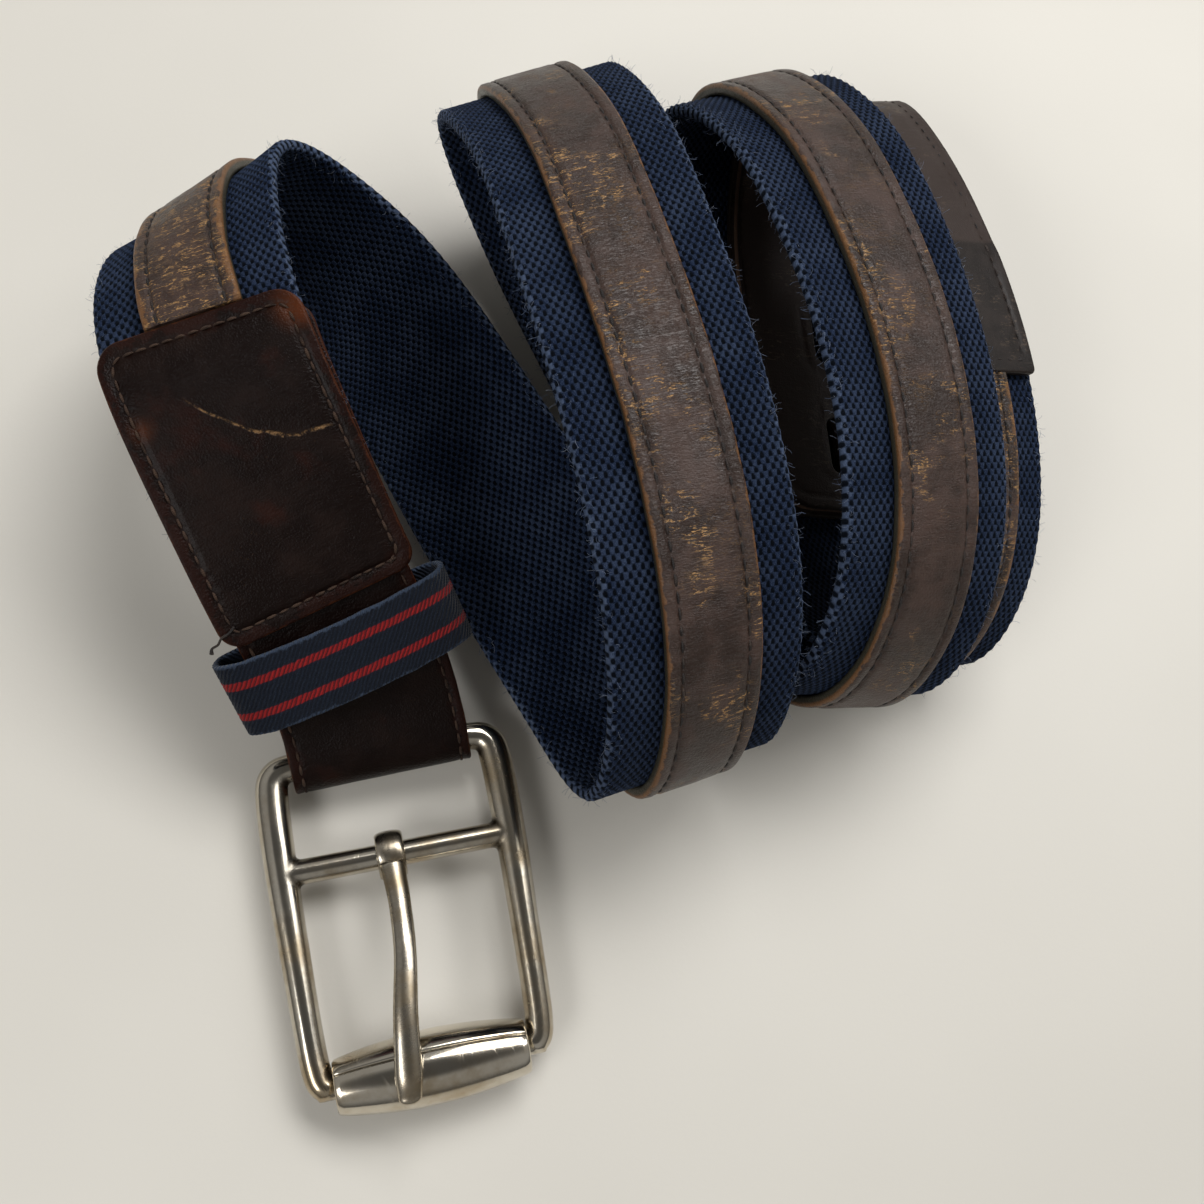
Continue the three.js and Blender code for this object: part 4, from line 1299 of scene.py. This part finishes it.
def rollerPiece():
    half = roller["length"] / 2
    profile = []
    for k in range(41):
        share = k / 20 - 1
        swell = math.cos(share * math.pi / 2) ** 0.85 if abs(share) < 1 else 0
        profile.append(
            (roller["endRadius"] + (roller["radius"] - roller["endRadius"]) * swell, share * (half - 0.35))
        )
    profile = [(roller["endRadius"] - 0.3, -half)] + profile + [(roller["endRadius"] - 0.3, half)]
    inside = [
        (roller["endRadius"] - roller["wall"], half), (roller["endRadius"] - roller["wall"] - 0.15, half - 1.1),
        (roller["bore"] + 0.3, half - 1.3), (roller["bore"], half - 1.8),
    ]
    profile += inside + [(r, -x) for r, x in inside[::-1]]
    angles = np.radians(
        np.r_[
            np.arange(0, roller["seamAngle"] - 4, 5),
            roller["seamAngle"] + np.array([-3, -1.6, -0.8, -0.2, 0.2, 0.8, 1.6, 3]),
            np.arange(roller["seamAngle"] + 5, 360, 5),
        ]
    )
    points = []
    for angle in angles:
        away = math.degrees(angle) - roller["seamAngle"]
        groove = roller["seamDepth"] * math.exp(-((away / 1.5) ** 2))
        groove += roller["seamStep"] * math.exp(-away / 30) if away > 0 else 0  # one lip of the sheet stands proud
        for index, (radius, x) in enumerate(profile):
            dent = 0.05 * noise.noise(Vector((x * 0.15, math.cos(angle) * 1.5, math.sin(angle) * 1.5)))
            r = radius - (groove - dent if index < 43 else 0)
            points.append((topBar + (x, buckle["bottomBar"] + r * math.cos(angle), r * math.sin(angle))) * mm)
    return faceOutwards(makePiece("rolledBarrel", points, skinFaces(len(angles), len(profile), True)))


barrel = storeNook(rollerPiece())
finishPiece(barrel, "roller", ["roller"], metalMaterial)

# prong
prong = {"place": -1.4, "width": 5.2, "height": 3.2, "bore": 3.05, "wall": 1.75, "voxel": 0.2}


def prongParts():
    x, bar, bottom = prong["place"], buckle["centreBar"], buckle["bottomBar"]
    rise = roller["radius"] + 0.3 + prong["height"] / 2
    places = [
        (x, bar - 2.2, 3.9), (x + 0.1, bar - 5, 4.7), (x + 0.2, -31, 6.2), (x - 0.3, -40, 8.5), (x - 2, -51, 9.6),
        (x - 3.1, bottom, rise), (x - 3.5, bottom - 4.2, rise - 1.1),
    ]
    radii = [(2.5, 1.55), (2.3, 1.55), (2.15, 1.55), (2.15, 1.5), (2.35, 1.5), (2.6, 1.5), (2.2, 1.1)]
    shaft = rodMesh(places, radii, 110, 28)
    tip = ballMesh((0, 0, 0), 1.0)
    tip = (tip[0] * (2.2, 1.3, 1.1) + places[-1], tip[1])
    ringRadius = prong["bore"] + prong["wall"] / 2
    angles = np.radians(np.arange(0, 360, 6))
    count, points = 16, []
    for angle in angles:
        for k in range(count):
            turn = 2 * math.pi * k / count
            across = (prong["width"] / 2 + 0.2) * math.copysign(abs(math.cos(turn)) ** 0.85, math.cos(turn))
            radius = ringRadius + prong["wall"] / 2 * math.copysign(abs(math.sin(turn)) ** 0.8, math.sin(turn))
            points.append((x + across, bar + radius * math.cos(angle), radius * math.sin(angle)))
    return [shaft, tip, (np.array(points), skinFaces(len(angles), count, True))]


tongue = storeNook(castPiece("bowedProng", prongParts(), prong["voxel"], 5))
finishPiece(tongue, "prong", ["prong"], metalMaterial)
print("prong", len(tongue.data.polygons))

# loose fibres on the webbing
fibres = {"density": 420000, "length": 0.0015, "radius": 0.000028, "seed": 4}


def buildFibreTree():
    tree = bpy.data.node_groups.new("looseFibres", "GeometryNodeTree")
    tree.interface.new_socket("Geometry", in_out="INPUT", socket_type="NodeSocketGeometry")
    for label, value in (
        ("Density", fibres["density"]), ("Fibre Length", fibres["length"]), ("Fibre Radius", fibres["radius"]),
        ("Edge Band", 1.9),
    ):
        tree.interface.new_socket(label, in_out="INPUT", socket_type="NodeSocketFloat").default_value = value
    tree.interface.new_socket("Seed", in_out="INPUT", socket_type="NodeSocketInt").default_value = fibres["seed"]
    tree.interface.new_socket("Material", in_out="INPUT", socket_type="NodeSocketMaterial")
    tree.interface.new_socket("Geometry", in_out="OUTPUT", socket_type="NodeSocketGeometry")
    given = tree.nodes.new("NodeGroupInput").outputs
    edge = put(tree, "GeometryNodeInputNamedAttribute", {"data_type": "FLOAT"}, Name="edge").outputs[0]
    near = put(
        tree, "FunctionNodeCompare", {"data_type": "FLOAT", "operation": "LESS_THAN"}, i0=edge, i1=given["Edge Band"]
    ).outputs[0]
    height = separate(tree, put(tree, "GeometryNodeInputPosition").outputs[0])[2]
    clear = put(
        tree, "FunctionNodeCompare", {"data_type": "FLOAT", "operation": "GREATER_THAN"}, i0=height, i1=0.0025
    ).outputs[0]
    near = put(tree, "FunctionNodeBooleanMath", {"operation": "AND"}, i0=near, i1=clear).outputs[0]
    spots = put(
        tree, "GeometryNodeDistributePointsOnFaces", None, Mesh=given["Geometry"], Selection=near,
        Density=given["Density"], Seed=given["Seed"],
    )
    tip = put(
        tree, "ShaderNodeCombineXYZ", None, X=times(tree, given["Fibre Length"], 0.5), Z=given["Fibre Length"]
    ).outputs[0]
    middle = put(tree, "ShaderNodeCombineXYZ", None, Z=times(tree, given["Fibre Length"], 0.7)).outputs[0]
    arc = put(
        tree, "GeometryNodeCurveQuadraticBezier", None, Resolution=3, Middle=middle, End=tip, Start=(0, 0, -0.0001)
    ).outputs[0]
    ring = put(tree, "GeometryNodeCurvePrimitiveCircle", None, Resolution=3, Radius=given["Fibre Radius"]).outputs[0]
    hair = put(tree, "GeometryNodeCurveToMesh", None, Curve=arc, Profile_Curve=ring, Fill_Caps=True).outputs[0]
    lean = put(
        tree, "FunctionNodeRandomValue", {"data_type": "FLOAT_VECTOR"}, i0=(-1.1, -1.1, -3.1), i1=(1.1, 1.1, 3.1),
        Seed=given["Seed"],
    ).outputs[0]
    turned = put(
        tree, "FunctionNodeRotateRotation", {"rotation_space": "LOCAL"}, i0=spots.outputs["Rotation"],
        i1=put(tree, "FunctionNodeEulerToRotation", None, i0=lean).outputs[0],
    ).outputs[0]
    size = put(tree, "FunctionNodeRandomValue", {"data_type": "FLOAT"}, i2=0.35, i3=1.2, Seed=9).outputs[1]
    grown = put(
        tree, "GeometryNodeInstanceOnPoints", None, Points=spots.outputs["Points"], Instance=hair, Rotation=turned,
        Scale=size,
    ).outputs[0]
    real = put(tree, "GeometryNodeRealizeInstances", None, i0=grown).outputs[0]
    painted = put(tree, "GeometryNodeSetMaterial", None, Geometry=real, Material=given["Material"]).outputs[0]
    finish = tree.nodes.new("NodeGroupOutput")
    tree.links.new(painted, finish.inputs[0])
    arrange(tree)
    return tree


def buildFibre(tree, shader):
    position = put(tree, "ShaderNodeTexCoord").outputs["Object"]
    wire(
        tree, shader, Base_Color=blendColour(tree, noiseValue(tree, position, 400.0, 2), rgb("1c2a42"), rgb("5f7190"))
    )


fibreMaterial = newMaterial("paleFibre", buildFibre, Roughness=0.9, Sheen_Weight=0.4)
fuzz = bpy.data.objects.new("looseFibres", cloth.data.copy())
bpy.context.scene.collection.objects.link(fuzz)
treeModifier(fuzz, buildFibreTree(), Seed=fibres["seed"], Material=fibreMaterial)
finishPiece(settle(fuzz), "strap", [], fibreMaterial)
print("loose fibres", len(fuzz.data.polygons))

# floor, light and camera
studio = {
    "floor": "cdc9c0",
    "lens": 38.99, "cameraPlace": (-0.05205, -0.08289, 0.2696), "cameraTurn": (17.38, -7.76, -11.92),
    "lights": [  # place, aimed at, size, watts
        ((0.3, 0.42, 0.8), (0.0, 0.0, 0.02), (0.6, 0.4), 6.8),
        ((0.65, 0.15, 0.7), (0.0, 0.0, 0.02), (0.3, 0.55), 1.8),
        ((-0.55, -0.3, 0.6), (-0.03, -0.03, 0.0), (0.4, 0.25), 2.3),
    ],
    "ambient": 0.19,
}


def buildFloor(tree, shader):
    position = put(tree, "ShaderNodeTexCoord").outputs["Object"]
    tone = noiseValue(tree, position, 6.0, 3)
    wire(tree, shader, Base_Color=blendColour(tree, remap(tree, tone, 0.3, 0.7), rgb(studio["floor"]), rgb("d2cec5")))
    wire(tree, shader, Normal=bump(tree, noiseValue(tree, position, 900.0, 3), 0.02))


floor = makePiece("paleFloor", [(-3, -3, 0), (3, -3, 0), (3, 3, 0), (-3, 3, 0)], [(0, 1, 2, 3)])
floor.data.materials.append(newMaterial("paleFloor", buildFloor, Roughness=0.55))

for number, (place, target, (sizeX, sizeY), watts) in enumerate(studio["lights"], 1):
    light = bpy.data.lights.new(f"softLight{number}", "AREA")
    light.shape, light.size, light.size_y, light.energy = "RECTANGLE", sizeX, sizeY, watts
    lamp = bpy.data.objects.new(light.name, light)
    lamp.location = place
    lamp.rotation_euler = (Vector(target) - Vector(place)).to_track_quat("-Z", "Y").to_euler()
    bpy.context.scene.collection.objects.link(lamp)

world = bpy.data.worlds.new("studioWorld")
world.use_nodes = True
background = world.node_tree.nodes["Background"]
background.inputs[0].default_value = (1.0, 0.985, 0.96, 1)
direction = put(world.node_tree, "ShaderNodeTexCoord").outputs["Generated"]
upward = separate(world.node_tree, direction)[2]
walls = remap(world.node_tree, upward, 0.0, 0.5, studio["ambient"] * 0.5, studio["ambient"] * 1.7)
overhead = remap(world.node_tree, upward, 0.8, 0.95, 1.0, 0.25)  # darker straight above, where a person leans over
world.node_tree.links.new(times(world.node_tree, walls, overhead), background.inputs[1])
arrange(world.node_tree)
bpy.context.scene.world = world
bpy.context.scene.view_settings.view_transform = "Standard"

camera = bpy.data.objects.new("camera", bpy.data.cameras.new("camera"))
camera.data.lens, camera.data.sensor_width, camera.data.clip_start = studio["lens"], 36, 0.01
camera.location = studio["cameraPlace"]
camera.rotation_euler = [math.radians(angle) for angle in studio["cameraTurn"]]
bpy.context.scene.collection.objects.link(camera)
bpy.context.scene.camera = camera
print("studio ready")
